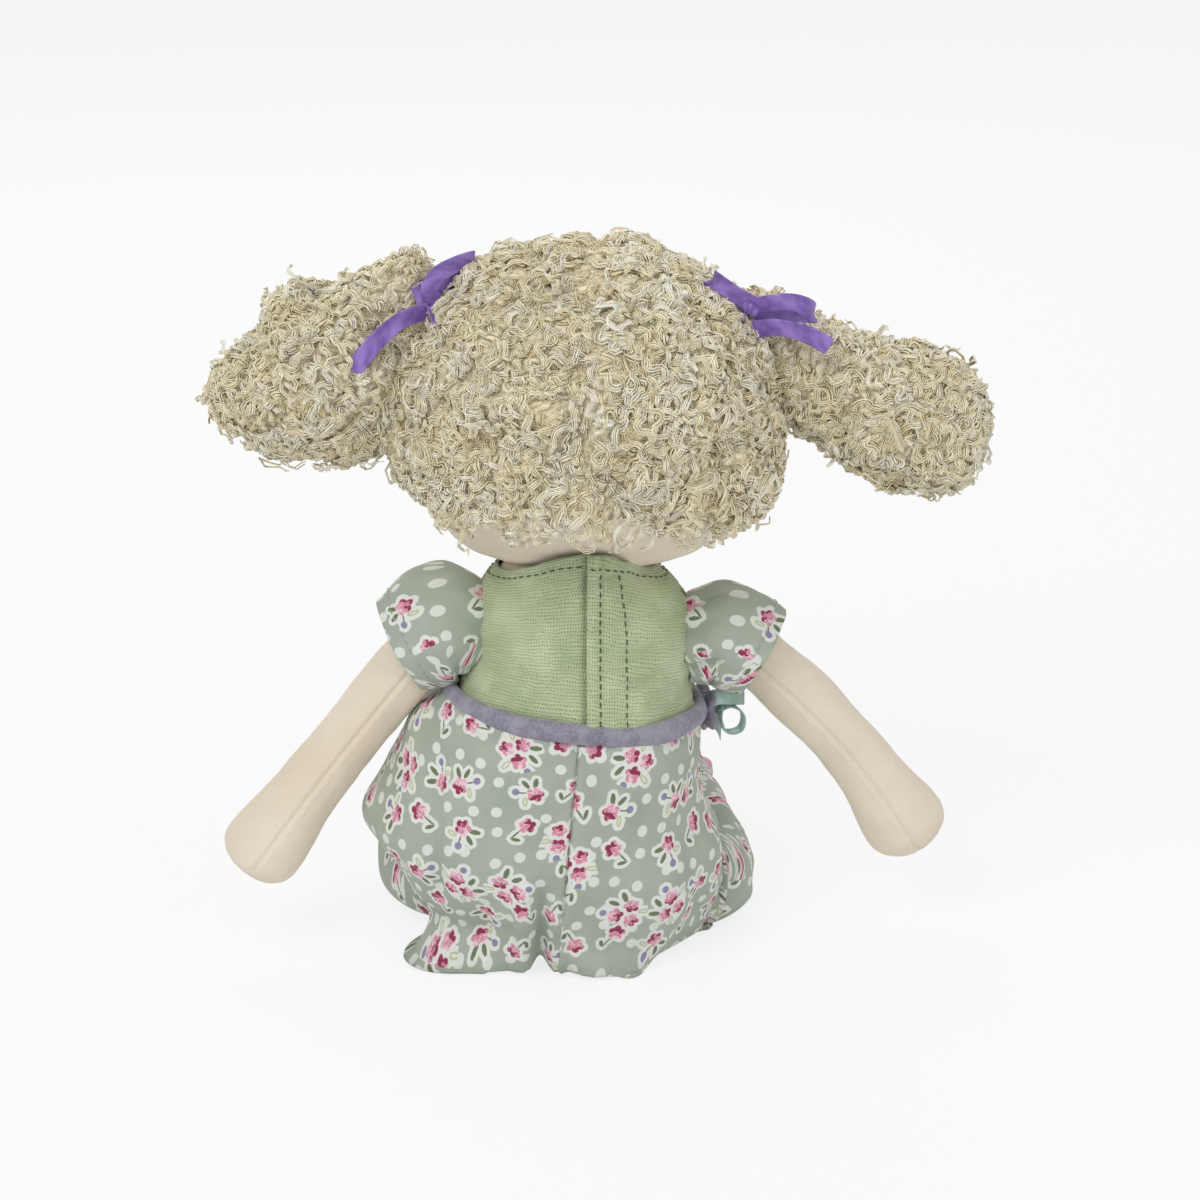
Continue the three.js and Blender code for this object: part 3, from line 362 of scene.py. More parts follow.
class Wire:
    """A value in a material's graph, on which sums are written as sums."""

    def __init__(self, graph, socket):
        self.graph = graph
        self.socket = socket

    def __add__(self, other):
        return self.graph.math("ADD", self, other)

    def __sub__(self, other):
        return self.graph.math("SUBTRACT", self, other)

    def __rsub__(self, other):
        return self.graph.math("SUBTRACT", other, self)

    def __mul__(self, other):
        return self.graph.math("MULTIPLY", self, other)

    __radd__ = __add__
    __rmul__ = __mul__


class Graph:
    """The nodes of one material."""

    def __init__(self, name, **sockets):
        self.material = bpy.data.materials.new(name)
        self.material.use_nodes = True
        self.tree = self.material.node_tree
        self.shader = self.tree.nodes["Principled BSDF"]
        for socket, value in sockets.items():
            self.shader.inputs[socket.replace("_", " ")].default_value = value

    def node(self, kind, inputs, output=0, **settings):
        made = self.tree.nodes.new("ShaderNode" + kind)
        for key, value in settings.items():
            setattr(made, key, value)
        for key, value in inputs.items():
            self.feed(made.inputs[key], value)
        return Wire(self, made.outputs[output])

    def feed(self, socket, value):
        if isinstance(value, Wire):
            self.tree.links.new(value.socket, socket)
        else:
            socket.default_value = value

    def math(self, operation, *values):
        return self.node("Math", dict(enumerate(values)), operation=operation)

    def step(self, value, low, high):
        """From 0 at low to 1 at high, smoothly."""
        return self.node("MapRange", {"Value": value, "From Min": low, "From Max": high},
                         interpolation_type="SMOOTHSTEP")

    def mix(self, share, low, high):
        return self.node("Mix", {0: share, 6: low, 7: high}, output=2, data_type="RGBA")

    def noise(self, vector, scale, detail=3.0, roughness=0.55):
        inputs = {"Vector": vector, "Scale": scale, "Detail": detail, "Roughness": roughness}
        return self.node("TexNoise", inputs)

    def stretched_noise(self, vector, spread, scale, detail):
        """Noise that is drawn out one way."""
        mapped = self.node("Mapping", {"Vector": vector, "Scale": spread})
        return self.node("TexNoise", {"Vector": mapped, "Scale": scale, "Detail": detail})

    def below(self, value, low, high):
        """From 1 at low to 0 at high, smoothly."""
        return 1 - self.step(value, low, high)

    def length(self, x, y):
        return self.math("SQRT", x * x + y * y)

    def cloth(self):
        """The place on the flat cloth, in millimetres."""
        return self.node("UVMap", {}, uv_map="cloth")

    def body(self):
        return self.node("TexCoord", {}, output=3)

    def split(self, vector):
        made = self.node("SeparateXYZ", {"Vector": vector})
        return [Wire(self, made.socket.node.outputs[k]) for k in range(3)]

    def colour(self, value):
        self.feed(self.shader.inputs["Base Color"], value)

    def relief(self, height, distance, strength=1.0):
        """Bump of a height from 0 to 1, whose full height is the distance in millimetres."""
        made = self.node("Bump", {"Height": height, "Distance": distance * MM, "Strength": strength})
        self.feed(self.shader.inputs["Normal"], made)


def ink(red, green, blue):
    """A linear colour from a written one. None here is dark enough for the curve's straight foot."""
    return tuple(((level / 255 + 0.055) / 1.055) ** 2.4 for level in (red, green, blue)) + (1,)


def weave(graph, x, y, pitch, open_share=0.0):
    """Height of a plain weave whose threads lie a pitch apart."""
    across = graph.math("SINE", x * (TURN / 2 / pitch))
    down = graph.math("SINE", y * (TURN / 2 / pitch))
    checks = across * down * 0.5 + 0.5
    threads = graph.math("MAXIMUM", graph.math("ABSOLUTE", across), graph.math("ABSOLUTE", down))
    return checks * (1 - open_share) + threads * open_share


def cotton_material(name="cream_cotton", blush=()):
    graph = Graph(name, Roughness=0.92, Sheen_Weight=0.12, Sheen_Roughness=0.6)
    x, y, _ = graph.split(graph.cloth())
    mottle = graph.noise(graph.body(), 22.0, 4.0)
    fine = graph.noise(graph.cloth(), 1.3, 2.0)
    tone = graph.mix(graph.step(mottle, 0.3, 0.7), ink(229, 216, 194), ink(240, 229, 210))
    tone = graph.mix(graph.step(fine, 0.35, 0.8) * 0.25, tone, ink(214, 196, 168))
    for place in blush:
        ends = {0: graph.body(), 1: tuple(place * MM)}
        away = graph.node("VectorMath", ends, output=1, operation="DISTANCE")
        tone = graph.mix(graph.below(away, 2 * MM, 11 * MM) * 0.45, tone, ink(226, 150, 138))
    graph.colour(tone)
    graph.relief(weave(graph, x, y, 0.42) * 0.6 + fine * 0.4, 0.09)
    return graph.material


# Distances between the gauze's threads
GAUZE_PITCH = 0.92
GAUZE_ROW_PITCH = 1.1


def gauze_material():
    graph = Graph("green_gauze", Roughness=0.95, Sheen_Weight=0.15, Sheen_Roughness=0.7)
    place = graph.cloth()
    x, y, _ = graph.split(place)
    wander = graph.noise(place, 0.35, 2.0)
    x = x + wander * 1.4
    y = y + graph.noise(place, 0.22, 2.0) * 1.8
    across, rows = (graph.math("ABSOLUTE", graph.math("SINE", line * (TURN / 2 / pitch)))
                    for line, pitch in ((x, GAUZE_PITCH), (y, GAUZE_ROW_PITCH)))
    holes = graph.below(across, 0.2, 0.75) * graph.below(rows, 0.2, 0.8)
    slub = graph.stretched_noise(place, (0.12, 1.3, 1.0), 1.0, 3.0)
    patch = graph.noise(place, 0.06, 3.0)
    tone = graph.mix(graph.step(patch, 0.35, 0.7), ink(178, 193, 150), ink(204, 215, 176))
    tone = graph.mix(graph.step(slub, 0.5, 0.75) * 0.5, tone, ink(220, 226, 192))
    # Painted shade: the gaps between the threads are painted a little darker, and the holes a dark green for
    # the shade seen through them.
    for threads in (rows, across):
        tone = graph.mix(graph.below(threads, 0.0, 0.5) * 0.16, tone, ink(146, 164, 122))
    tone = graph.mix(holes * 0.95, tone, ink(88, 108, 72))
    graph.colour(tone)
    graph.relief((across + rows) * 0.3 - holes * 0.4 + slub * 0.3, 0.28)
    return graph.material


class Motif:
    """Small painted shapes about one point of the cloth, in millimetres."""

    def __init__(self, graph, x, y):
        self.graph = graph
        self.x = x
        self.y = y

    def leaf(self, x, y, half_long, half_wide, lean=0):
        """Distance outside a leaf, or outside a disc when it is as long as it is wide."""
        cos, sin = math.cos(math.radians(lean)), math.sin(math.radians(lean))
        dx = self.x - x
        dy = self.y - y
        along = dx * cos + dy * sin
        across = dy * cos - dx * sin
        reach = max(half_long - half_wide, 0.001)
        core = self.graph.math("MAXIMUM", self.graph.math("MINIMUM", along, reach), -reach)
        beyond = along - core
        return self.graph.length(beyond, across) - (1 - core * core * (0.75 / half_long**2)) * half_wide

    def flower(self, x, y, radius, phase, lean):
        """Distance outside five round petals, and how far up the flower a place lies."""
        dx = self.x - x
        dy = self.y - y
        angle = self.graph.math("ARCTAN2", dy, dx)
        petals = self.graph.math("ABSOLUTE", self.graph.math("SINE", angle * 2.5 + phase))
        out = self.graph.length(dx, dy) - (petals * 0.3 + 0.72) * radius
        return out, dx * math.cos(lean) + dy * math.sin(lean)


# The print: distances between sprigs and between dots, the sprigs' size, and a distance that hides a shape
SPRIG_SPACING = 16.8
DOT_SPACING = 8.8
SPRIG_SHARE = 0.87
OUT_OF_SIGHT = 40.0


def floral_material():
    """Sage cotton with white dots and small painted sprigs in white."""
    graph = Graph("sage_floral", Roughness=0.9, Sheen_Weight=0.1, Sheen_Roughness=0.6)
    place = graph.cloth()
    x, y, _ = graph.split(place)

    def cells(size, jitter, shift):
        spread = (1 / size, 1 / size, 1.0)
        scaled = graph.node("Mapping", {"Vector": place, "Location": shift, "Scale": spread})
        found = graph.node("TexVoronoi", {"Vector": scaled, "Scale": 1.0, "Randomness": jitter},
                           voronoi_dimensions="2D", feature="F1")
        outputs = found.socket.node.outputs
        ends = {0: scaled, 1: Wire(graph, outputs["Position"])}
        near_x, near_y, _ = graph.split(graph.node("VectorMath", ends, operation="SUBTRACT"))
        return near_x * size, near_y * size, graph.split(Wire(graph, outputs["Color"]))

    def nearest(distances):
        found = distances[0]
        for distance in distances[1:]:
            found = graph.math("MINIMUM", found, distance)
        return found

    near_x, near_y, chance = cells(SPRIG_SPACING, 0.45, (0.3, 0.7, 0.0))
    spin = chance[0] * TURN
    cos, sin = graph.math("COSINE", spin), graph.math("SINE", spin)
    mirror = graph.math("GREATER_THAN", chance[2], 0.5) * 2 - 1
    along, over = (near_x * cos + near_y * sin) * mirror, near_y * cos - near_x * sin
    motif = Motif(graph, along * SPRIG_SHARE, over * SPRIG_SHARE)
    bunch = graph.math("GREATER_THAN", chance[1], 0.78)
    berried = graph.math("GREATER_THAN", chance[1], 0.38)
    off_bunch = (1 - bunch) * OUT_OF_SIGHT
    off_single = bunch * OUT_OF_SIGHT
    off_berry = graph.math("MAXIMUM", off_single, (1 - berried) * OUT_OF_SIGHT)
    off_stem = graph.math("MAXIMUM", off_single, berried * OUT_OF_SIGHT)

    flowers = [
        (*motif.flower(-2.8, 0.2, 2.5, 0.4, 0.9), off_bunch),
        (*motif.flower(2.7, -0.6, 2.6, 1.3, 2.4), off_bunch),
        (*motif.flower(0.4, 4.2, 2.4, 2.1, 1.6), off_bunch),
        (*motif.flower(-0.6, 1.7, 2.7, 0.9, 1.5), off_single),
    ]
    petals = nearest([petal + off for petal, _, off in flowers])
    dark_leaves = nearest([
        motif.leaf(-3.3, -3.8, 2.0, 0.8, 70) + off_bunch,
        motif.leaf(0.2, -4.3, 1.9, 0.75, 115) + off_bunch,
        motif.leaf(1.0, -2.4, 2.3, 0.28, -65) + off_stem,
        motif.leaf(2.7, -2.9, 1.5, 0.6, 60) + off_stem,
        motif.leaf(-2.6, -1.6, 1.9, 0.75, 50) + off_berry,
        motif.leaf(0.2, -2.6, 1.8, 0.7, 100) + off_berry,
        motif.leaf(2.4, -0.6, 1.4, 0.25, -30) + off_berry,
    ])
    pale_leaves = nearest([
        motif.leaf(5.4, 2.6, 2.1, 0.9, 25) + off_bunch,
        motif.leaf(-4.3, 4.2, 1.9, 0.85, -35) + off_bunch,
        motif.leaf(3.2, 2.4, 1.8, 0.8, 60) + off_berry,
    ])
    berries = nearest([
        motif.leaf(4.6, -4.0, 1.1, 1.1) + off_bunch,
        motif.leaf(4.0, -1.8, 1.15, 1.15) + off_berry,
    ])
    wobble = graph.noise(place, 1.1, 2.0) - 0.5
    shapes = nearest([petals, dark_leaves, pale_leaves, berries])
    halo = graph.below(shapes + wobble * 0.7, 1.0, 1.25)

    dot_x, dot_y, dot_chance = cells(DOT_SPACING, 0.5, (0.1, 0.4, 0.0))
    dots = graph.below(graph.length(dot_x, dot_y), 1.75, 2.0)
    dots = dots * graph.math("GREATER_THAN", dot_chance[2], 0.16)

    thread = graph.noise(place, 2.2, 2.0)
    patch = graph.noise(place, 0.05, 3.0)
    tone = graph.mix(graph.step(patch, 0.3, 0.7), ink(160, 171, 156), ink(174, 183, 169))
    tone = graph.mix(graph.step(thread, 0.4, 0.75) * 0.35, tone, ink(188, 195, 182))
    tone = graph.mix(dots * 0.92, tone, ink(228, 232, 225))
    tone = graph.mix(halo * 0.94, tone, ink(231, 233, 227))
    rib = graph.math("ABSOLUTE", pale_leaves + 0.3)
    tone = graph.mix(graph.below(rib, 0.1, 0.4) * 0.75, tone, ink(176, 184, 124))
    tone = graph.mix(graph.below(dark_leaves + wobble * 0.4, -0.12, 0.14) * 0.92, tone, ink(92, 108, 66))
    tone = graph.mix(graph.below(berries, -0.2, 0.1) * 0.85, tone, ink(118, 112, 158))
    blotch = graph.noise(place, 0.6, 2.0)
    pink = graph.mix(graph.step(blotch, 0.42, 0.6), ink(216, 140, 166), ink(240, 206, 216))
    tone = graph.mix(graph.below(petals + wobble * 0.4, -0.2, 0.12), tone, pink)
    for petal, up, off in flowers:
        within = graph.below(petal + off + wobble * 0.5, -0.35, -0.05)
        tone = graph.mix(graph.step(up + (blotch - 0.5) * 9, 0.3, 0.8) * within, tone, ink(146, 48, 82))
    graph.colour(tone)
    graph.relief(weave(graph, x, y, 0.36) * 0.6 + thread * 0.4, 0.07)
    return graph.material


def velour_material():
    graph = Graph("lavender_velour", Roughness=0.95, Sheen_Weight=0.45, Sheen_Roughness=0.45,
                  Sheen_Tint=ink(214, 210, 226))
    place = graph.body()
    pile = graph.stretched_noise(place, (1.0, 1.0, 0.55), 1900.0, 3.0)
    brushed = graph.noise(place, 160.0, 4.0)
    tone = graph.mix(graph.step(brushed, 0.35, 0.65), ink(132, 128, 144), ink(158, 154, 168))
    tone = graph.mix(graph.step(pile, 0.45, 0.7) * 0.5, tone, ink(182, 178, 192))
    graph.colour(tone)
    graph.relief(pile * 0.6 + brushed * 0.4, 0.5)
    return graph.material


def satin_material(name, dark, light, roughness=0.34):
    """Woven ribbon with fine threads across it."""
    graph = Graph(name, Roughness=roughness, Specular_IOR_Level=0.6, Sheen_Weight=0.15)
    place = graph.cloth()
    threads = graph.stretched_noise(place, (0.4, 6.0, 1.0), 1.0, 2.0)
    # Painted sheen: the tone goes between a shaded and a lit colour of the satin over a few millimetres, and
    # the fine threads take a share of the lit colour.
    painted_sheen = graph.noise(place, 0.12, 2.0)
    tone = graph.mix(graph.step(painted_sheen, 0.35, 0.65), ink(*dark), ink(*light))
    tone = graph.mix(graph.step(threads, 0.45, 0.7) * 0.4, tone, ink(*light))
    graph.colour(tone)
    graph.relief(threads, 0.05)
    return graph.material


def hair_material():
    graph = Graph("curled_mohair", Roughness=0.3, Specular_IOR_Level=0.65, Sheen_Weight=0.1)
    # The shade attribute carries painted light with the tone: higher locks and the crests of their waves are
    # painted lighter, the roots darker.
    shade = graph.node("Attribute", {}, output=2, attribute_name="shade")
    patch = graph.noise(graph.body(), 50.0, 3.0)
    level = shade + (patch - 0.5) * 0.4
    tone = graph.mix(graph.step(level, 0.0, 0.5), ink(242, 226, 182), ink(253, 243, 209))
    tone = graph.mix(graph.step(level, 0.5, 1.0), tone, ink(255, 252, 235))
    graph.colour(tone)
    return graph.material


def hair_base_material():
    """The mass of finer curls below the loose ones: lines that swirl round in small rings, with a painted
    highlight along each line and painted shade between them.
    """
    graph = Graph("fine_mohair", Roughness=0.42, Specular_IOR_Level=0.5, Sheen_Weight=0.15)
    swirl = graph.node("TexNoise", {"Vector": graph.body(), "Scale": 150.0, "Detail": 1.0, "Distortion": 1.2})
    lines = graph.math("SINE", swirl * 75.0) * 0.5 + 0.5
    patch = graph.noise(graph.body(), 60.0, 3.0)
    tone = graph.mix(graph.step(patch, 0.35, 0.65), ink(246, 230, 188), ink(253, 240, 205))
    # Painted highlight on the lines and painted shade in the troughs between them.
    tone = graph.mix(graph.step(lines, 0.35, 0.95) * 0.75, tone, ink(255, 249, 226))
    tone = graph.mix(graph.below(lines, 0.0, 0.3) * 0.3, tone, ink(208, 186, 140))
    graph.colour(tone)
    graph.relief(lines * 0.6 + swirl * 1.6, 0.8)
    return graph.material


def thread_material(name, tone, roughness=0.55):
    graph = Graph(name, Roughness=roughness, Sheen_Weight=0.2)
    twist = graph.noise(graph.body(), 1600.0, 2.0)
    graph.colour(graph.mix(twist, ink(*(0.75 * np.array(tone))), ink(*tone)))
    graph.relief(twist, 0.08)
    return graph.material


def tape_material():
    graph = Graph("hook_and_loop", Roughness=0.95)
    loops = graph.noise(graph.cloth(), 2.5, 2.0)
    graph.colour(graph.mix(loops, ink(186, 192, 170), ink(222, 226, 210)))
    graph.relief(loops, 0.3)
    return graph.material


def elastic_material():
    graph = Graph("covered_elastic", Roughness=0.8)
    x, _, _ = graph.split(graph.cloth())
    ribs = graph.math("SINE", x * (TURN / 0.9)) * 0.5 + 0.5
    # Painted shade: the grooves between the ribs are painted darker than their tops.
    graph.colour(graph.mix(ribs, ink(196, 188, 168), ink(232, 226, 210)))
    graph.relief(ribs, 0.25)
    return graph.material


cotton = cotton_material()
gauze = gauze_material()
floral = floral_material()
velour = velour_material()
# The two colours of each satin are its shaded and lit tones, for the painted sheen.
mint_satin = satin_material("mint_satin", (138, 176, 164), (190, 220, 208))
purple_satin = satin_material("purple_satin", (104, 76, 158), (158, 126, 210), 0.28)
mohair = hair_material()
fine_mohair = hair_base_material()
brown_thread = thread_material("brown_thread", (74, 54, 42))
rose_thread = thread_material("rose_thread", (186, 96, 104))
white_thread = thread_material("white_thread", (238, 236, 230))
green_thread = thread_material("green_thread", (84, 104, 70), 0.8)
sage_thread = thread_material("sage_thread", (196, 202, 190), 0.8)
tape = tape_material()
elastic = elastic_material()


# Head: height, half width and half depth, in millimetres
HEAD_ROWS = [
    [136, 14, 10], [137, 27, 15], [139, 36, 19.5], [143, 42.5, 22.8], [148, 47, 27.5], [154, 50.5, 34.5],
    [160, 51.8, 39.5], [167, 52.2, 43.2], [179, 53, 46.1], [191.5, 53, 47], [203.8, 50.9, 45.1],
    [216.1, 44, 39], [226.7, 31.8, 28.2], [233.7, 14.3, 12.7], [235.5, 3.2, 2.8],
]
head_low, head_high = node_box("head_skin")
head_middle = (head_low + head_high) / 2
head_half = (head_high - head_low) / 2


def seam_dip(distance, depth=SKIN_SEAM_DEPTH):
    """A seam's groove with a soft roll on each side."""
    roll = bump(np.abs(distance), 2.2 * SEAM_WIDTH, SEAM_WIDTH)
    return depth * (0.35 * roll - bump(distance, 0, SEAM_WIDTH))


def make_head():
    shares = 0.5 - 0.5 * np.cos(np.linspace(0, math.pi, 110))
    height = HEAD_ROWS[0][0] + (HEAD_ROWS[-1][0] - HEAD_ROWS[0][0]) * shares
    wide, deep = smooth(HEAD_ROWS, height).T[..., None]
    turns = angles(150, TURN / 4)
    grid = rings(head_middle[0], head_middle[1], wide, deep, height, turns)
    from_seam = away_from(turns, TURN / 4) * wide
    amount = seam_dip(from_seam) + 0.35 * ripple(grid, 46, 3) + 0.12 * ripple(grid, 13, 4)
    cheek_places = [face_point(side * 27, 174, 0) for side in (1, -1)]
    cheek_cotton = cotton_material("face_cotton", cheek_places)
    head = piece(skin("head", pushed(grid, amount, True)), "head", "cotton", cheek_cotton,
                 "head_skin", "head_stuffing")


def face_point(x, z, out):
    """A place on the face, off the skin by a distance."""
    rows = smooth(HEAD_ROWS, z)
    ahead = rows[..., 1] * np.sqrt(np.maximum(0, 1 - (x / rows[..., 0]) ** 2))
    return np.stack(np.broadcast_arrays(head_middle[0] + x, head_middle[1] - ahead - out, z), -1)


def face_spot(name, centre_x, centre_z, half_x, half_z, proud, slot, material, *nodes):
    """A domed spot of satin stitch on the face."""
    reach = np.array([1.0, 1.04, 1.0, 0.85, 0.6, 0.3, 0.08])[:, None]
    out = np.array([-0.3, 0.15, 0.55, 0.85, 0.97, 1, 1])[:, None] * proud
    turns = even_turns(36)
    x, z = centre_x + half_x * reach * np.cos(turns), centre_z + half_z * reach * np.sin(turns)
    return piece(skin(name, face_point(x, z, out)), "head", slot, material, *nodes)


def make_face():
    for name, side in SIDES.items():
        low, high = node_box(f"{name}_eye")
        x, _, z = (low + high) / 2
        half_x, _, half_z = (high - low) / 2
        face_spot(f"{name}_eye_stitch", x, z, half_x, half_z, 1.3, "thread", brown_thread, f"{name}_eye")
        glint = x + half_x * 0.3, z + half_z * 0.35, half_x * 0.24, half_z * 0.24
        face_spot(f"{name}_eye_glint", *glint, 1.75, "thread", white_thread)
    low, high = node_box("mouth")
    half_width = (high[0] - low[0]) / 2
    share = np.linspace(-1, 1, 40)
    bottom = low[2] + 0.9
    path = face_point(share * half_width, bottom + (high[2] - low[2] - 1.8) * share**2, 0.55)
    radii = 0.8 * np.sqrt(np.maximum(0.02, 1 - share**6))
    mouth = tubes("mouth_stitch", path[None], radii[None], np.array([UP]), 10)
    piece(mouth, "head", "mouth_thread", rose_thread, "mouth")


def make_neck():
    low, high = node_box("neck_skin")
    share = np.linspace(0, 1, 24)
    path = BACK * BODY_Y + UP * (low[2] + (high[2] - low[2]) * share)[:, None]
    radius = smooth([[0, 12.4], [0.3, 12.4], [0.55, 13.2], [0.75, 12.6], [0.92, 8.5], [1, 3]], share)[:, 0]
    neck = piece(skin("neck", sweep(path, radius, radius, BACK, angles(60, 0))), "neck", "cotton", cotton,
                 "neck_skin", "neck_stuffing")


# Torso: height share, width, depth and shift to the left, in millimetres
TORSO_ROWS = [
    [0, 27, 21, 8], [0.05, 36.5, 29, 8], [0.2, 42, 34.5, 7.6], [0.42, 43, 36, 5.6], [0.62, 36.5, 33.4, 3.6],
    [0.74, 36, 30, 1], [0.86, 34.5, 28.1, 1.6], [0.94, 28.5, 26.2, 2.8], [0.985, 21, 22.4, 3], [1, 13, 15, 2],
]
TORSO_FLOOR = 1.6
TORSO_TOP = 140
TORSO_INSET = 0.5
COLLAR_FOOT = 124
COLLAR_TUCKS = (4.0, 1.0)


def torso_rows(height):
    return smooth(TORSO_ROWS, (height - TORSO_FLOOR) / (TORSO_TOP - TORSO_FLOOR))


def collar_tuck(height, k):
    """How far the bodice draws in towards the neck: in width for k 0, in depth for k 1."""
    return COLLAR_TUCKS[k] * ease(height, COLLAR_FOOT, TORSO_TOP)


def make_torso():
    height = TORSO_FLOOR + 0.4 + (TORSO_TOP - TORSO_FLOOR - 2.4) * np.linspace(0, 1, 70)
    rows = torso_rows(height)
    wide, deep = (rows[:, [k]] - TORSO_INSET - collar_tuck(height, k)[:, None] for k in (0, 1))
    grid = rings(rows[:, [2]], BODY_Y, wide, deep, height, angles(96, TURN / 4))
    torso = piece(skin("torso", grid), "torso", "cotton", cotton, "torso_skin", "torso_stuffing")


# Arm: distance share, radius share, and thickness share from front to back
ARM_SHARES = [
    [0, 0.97, 1], [0.25, 0.97, 1], [0.42, 0.97, 1], [0.58, 0.98, 1], [0.7, 1.03, 0.97], [0.8, 1.17, 0.92],
    [0.88, 1.27, 0.88], [0.93, 1.24, 0.88], [0.965, 1.04, 0.9], [0.985, 0.76, 0.95], [0.996, 0.4, 1],
    [1, 0.08, 1],
]


def arm_out(side):
    tilt = math.radians(ARMHOLE_TILT)
    return np.array([side * math.cos(tilt), 0, math.sin(tilt)])


def arm_down(name):
    splay, ahead = math.radians(ARM_SPLAY[name]), math.radians(ARM_AHEAD[name])
    out = SIDES[name] * math.sin(splay)
    return np.array([out, -math.cos(splay) * math.sin(ahead), -math.cos(splay) * math.cos(ahead)])


def make_arm(name):
    side = SIDES[name]
    shoulder = joints[f"{name}_arm_swing"]
    down = arm_down(name)
    start = shoulder - arm_out(side) * 12
    bow = unit(np.cross(down, BACK)) * ARM_BOW[name]
    share = np.r_[np.linspace(0.09, 0.9, 70), np.linspace(0.91, 1, 22)]
    straight = shoulder + down * ARM_LENGTH * share[:, None] + bow * np.sin(math.pi * share)[:, None] * side
    bend = np.linspace(0, 1, 14)[:-1, None]
    bent = start * (1 - bend) ** 2 + shoulder * 2 * bend * (1 - bend) + straight[0] * bend**2
    path = np.concatenate([bent, straight])
    rows = smooth(ARM_SHARES, np.r_[np.zeros(len(bent)), share])
    wide = ARM_RADIUS * rows[:, 0]
    turns = angles(110, 0)
    grid = sweep(path, wide * rows[:, 1], wide, BACK, turns)
    from_seam = away_from(turns, 0) * wide[:, None]
    pucker = 0.12 * np.sin(np.arange(len(path)) * 1.9)[:, None] * bump(from_seam, 0, 2.5)
    amount = seam_dip(from_seam) + pucker
    amount = amount + 0.3 * ripple(grid, 34, 11 + side) + 0.1 * ripple(grid, 9, 21 + side)
    fade = ease(1 - np.r_[np.zeros(len(bent)), share], 0, 0.05)[:, None]
    arm = piece(skin(f"{name}_arm_limb", pushed(grid, amount * fade, True)), f"{name}_arm", "cotton", cotton,
                f"{name}_arm_skin", f"{name}_arm_stuffing")


# Leg: distance ahead of the hip, height and radius, in millimetres. The last rows are the upturned foot
LEG_ROWS = [
    [-14, 26, 8], [-9, 26, 13], [0, 26, 15.4], [14, 25.5, 15.8], [41, 23, 16.1], [65, 20.5, 15.5],
    [94, 17.2, 14.1], [113, 15.3, 12.9], [126, 16.4, 12.5], [133.5, 24, 12.6], [136, 36, 13.2],
    [136, 46, 11.6], [136, 52, 7], [136, 54, 1.5],
]


def leg_ahead(side):
    spread = math.radians(LEG_SPREAD)
    return np.array([side * math.sin(spread), -math.cos(spread), 0])


def leg_path(name, distance, height):
    """Places over the line of a leg, at distances ahead of its hip."""
    hip = joints[f"{name}_hip"] * [1, 1, 0]
    return hip + leg_ahead(SIDES[name]) * distance[:, None] + UP * height[:, None]


def make_leg(name):
    side = SIDES[name]
    rows = curve(LEG_ROWS, 120)
    path = leg_path(name, rows[:, 0], rows[:, 1])
    across = np.cross(leg_ahead(side), UP)
    turns = angles(100, -TURN / 4)
    radius = np.maximum(rows[:, 2], 0.8)
    grid = sweep(path, radius, radius, across, turns)
    from_seam = away_from(turns, -TURN / 4) * radius[:, None]
    amount = seam_dip(from_seam) + 0.3 * ripple(grid, 36, 31 + side) + 0.1 * ripple(grid, 10, 41 + side)
    grid = pushed(grid, amount * ease(np.arange(120), 119, 108)[:, None], True)
    flatten_low(grid, 2.0, 0.15)
    leg = piece(skin(f"{name}_leg_limb", grid), f"{name}_leg", "cotton", cotton,
                f"{name}_leg_skin", f"{name}_leg_stuffing")


# Sleeve: share from the armhole to the hem, distance from the shoulder, radius, and gather depth
SLEEVE_ROWS = {
    "left": [[0, -14.5, 14.5, 0.2], [0.12, -10, 17.6, 0.9], [0.3, -4.5, 19.9, 0.9], [0.5, 1, 20.7, 0.7],
             [0.7, 7, 20.2, 0.5], [0.88, 12.5, 18.4, 0.4], [1, 16.5, 17.4, 0.4]],
    "right": [[0, -14.5, 14.5, 0.2], [0.12, -10, 16.2, 0.9], [0.3, -4.5, 17.0, 0.9], [0.5, 1, 17.5, 0.7],
              [0.7, 6, 17.5, 0.5], [0.88, 10.5, 16.8, 0.4], [1, 14, 16.2, 0.4]],
}
# Row of the sleeve's grid along which the hem is stitched
SLEEVE_HEM_ROW = 50


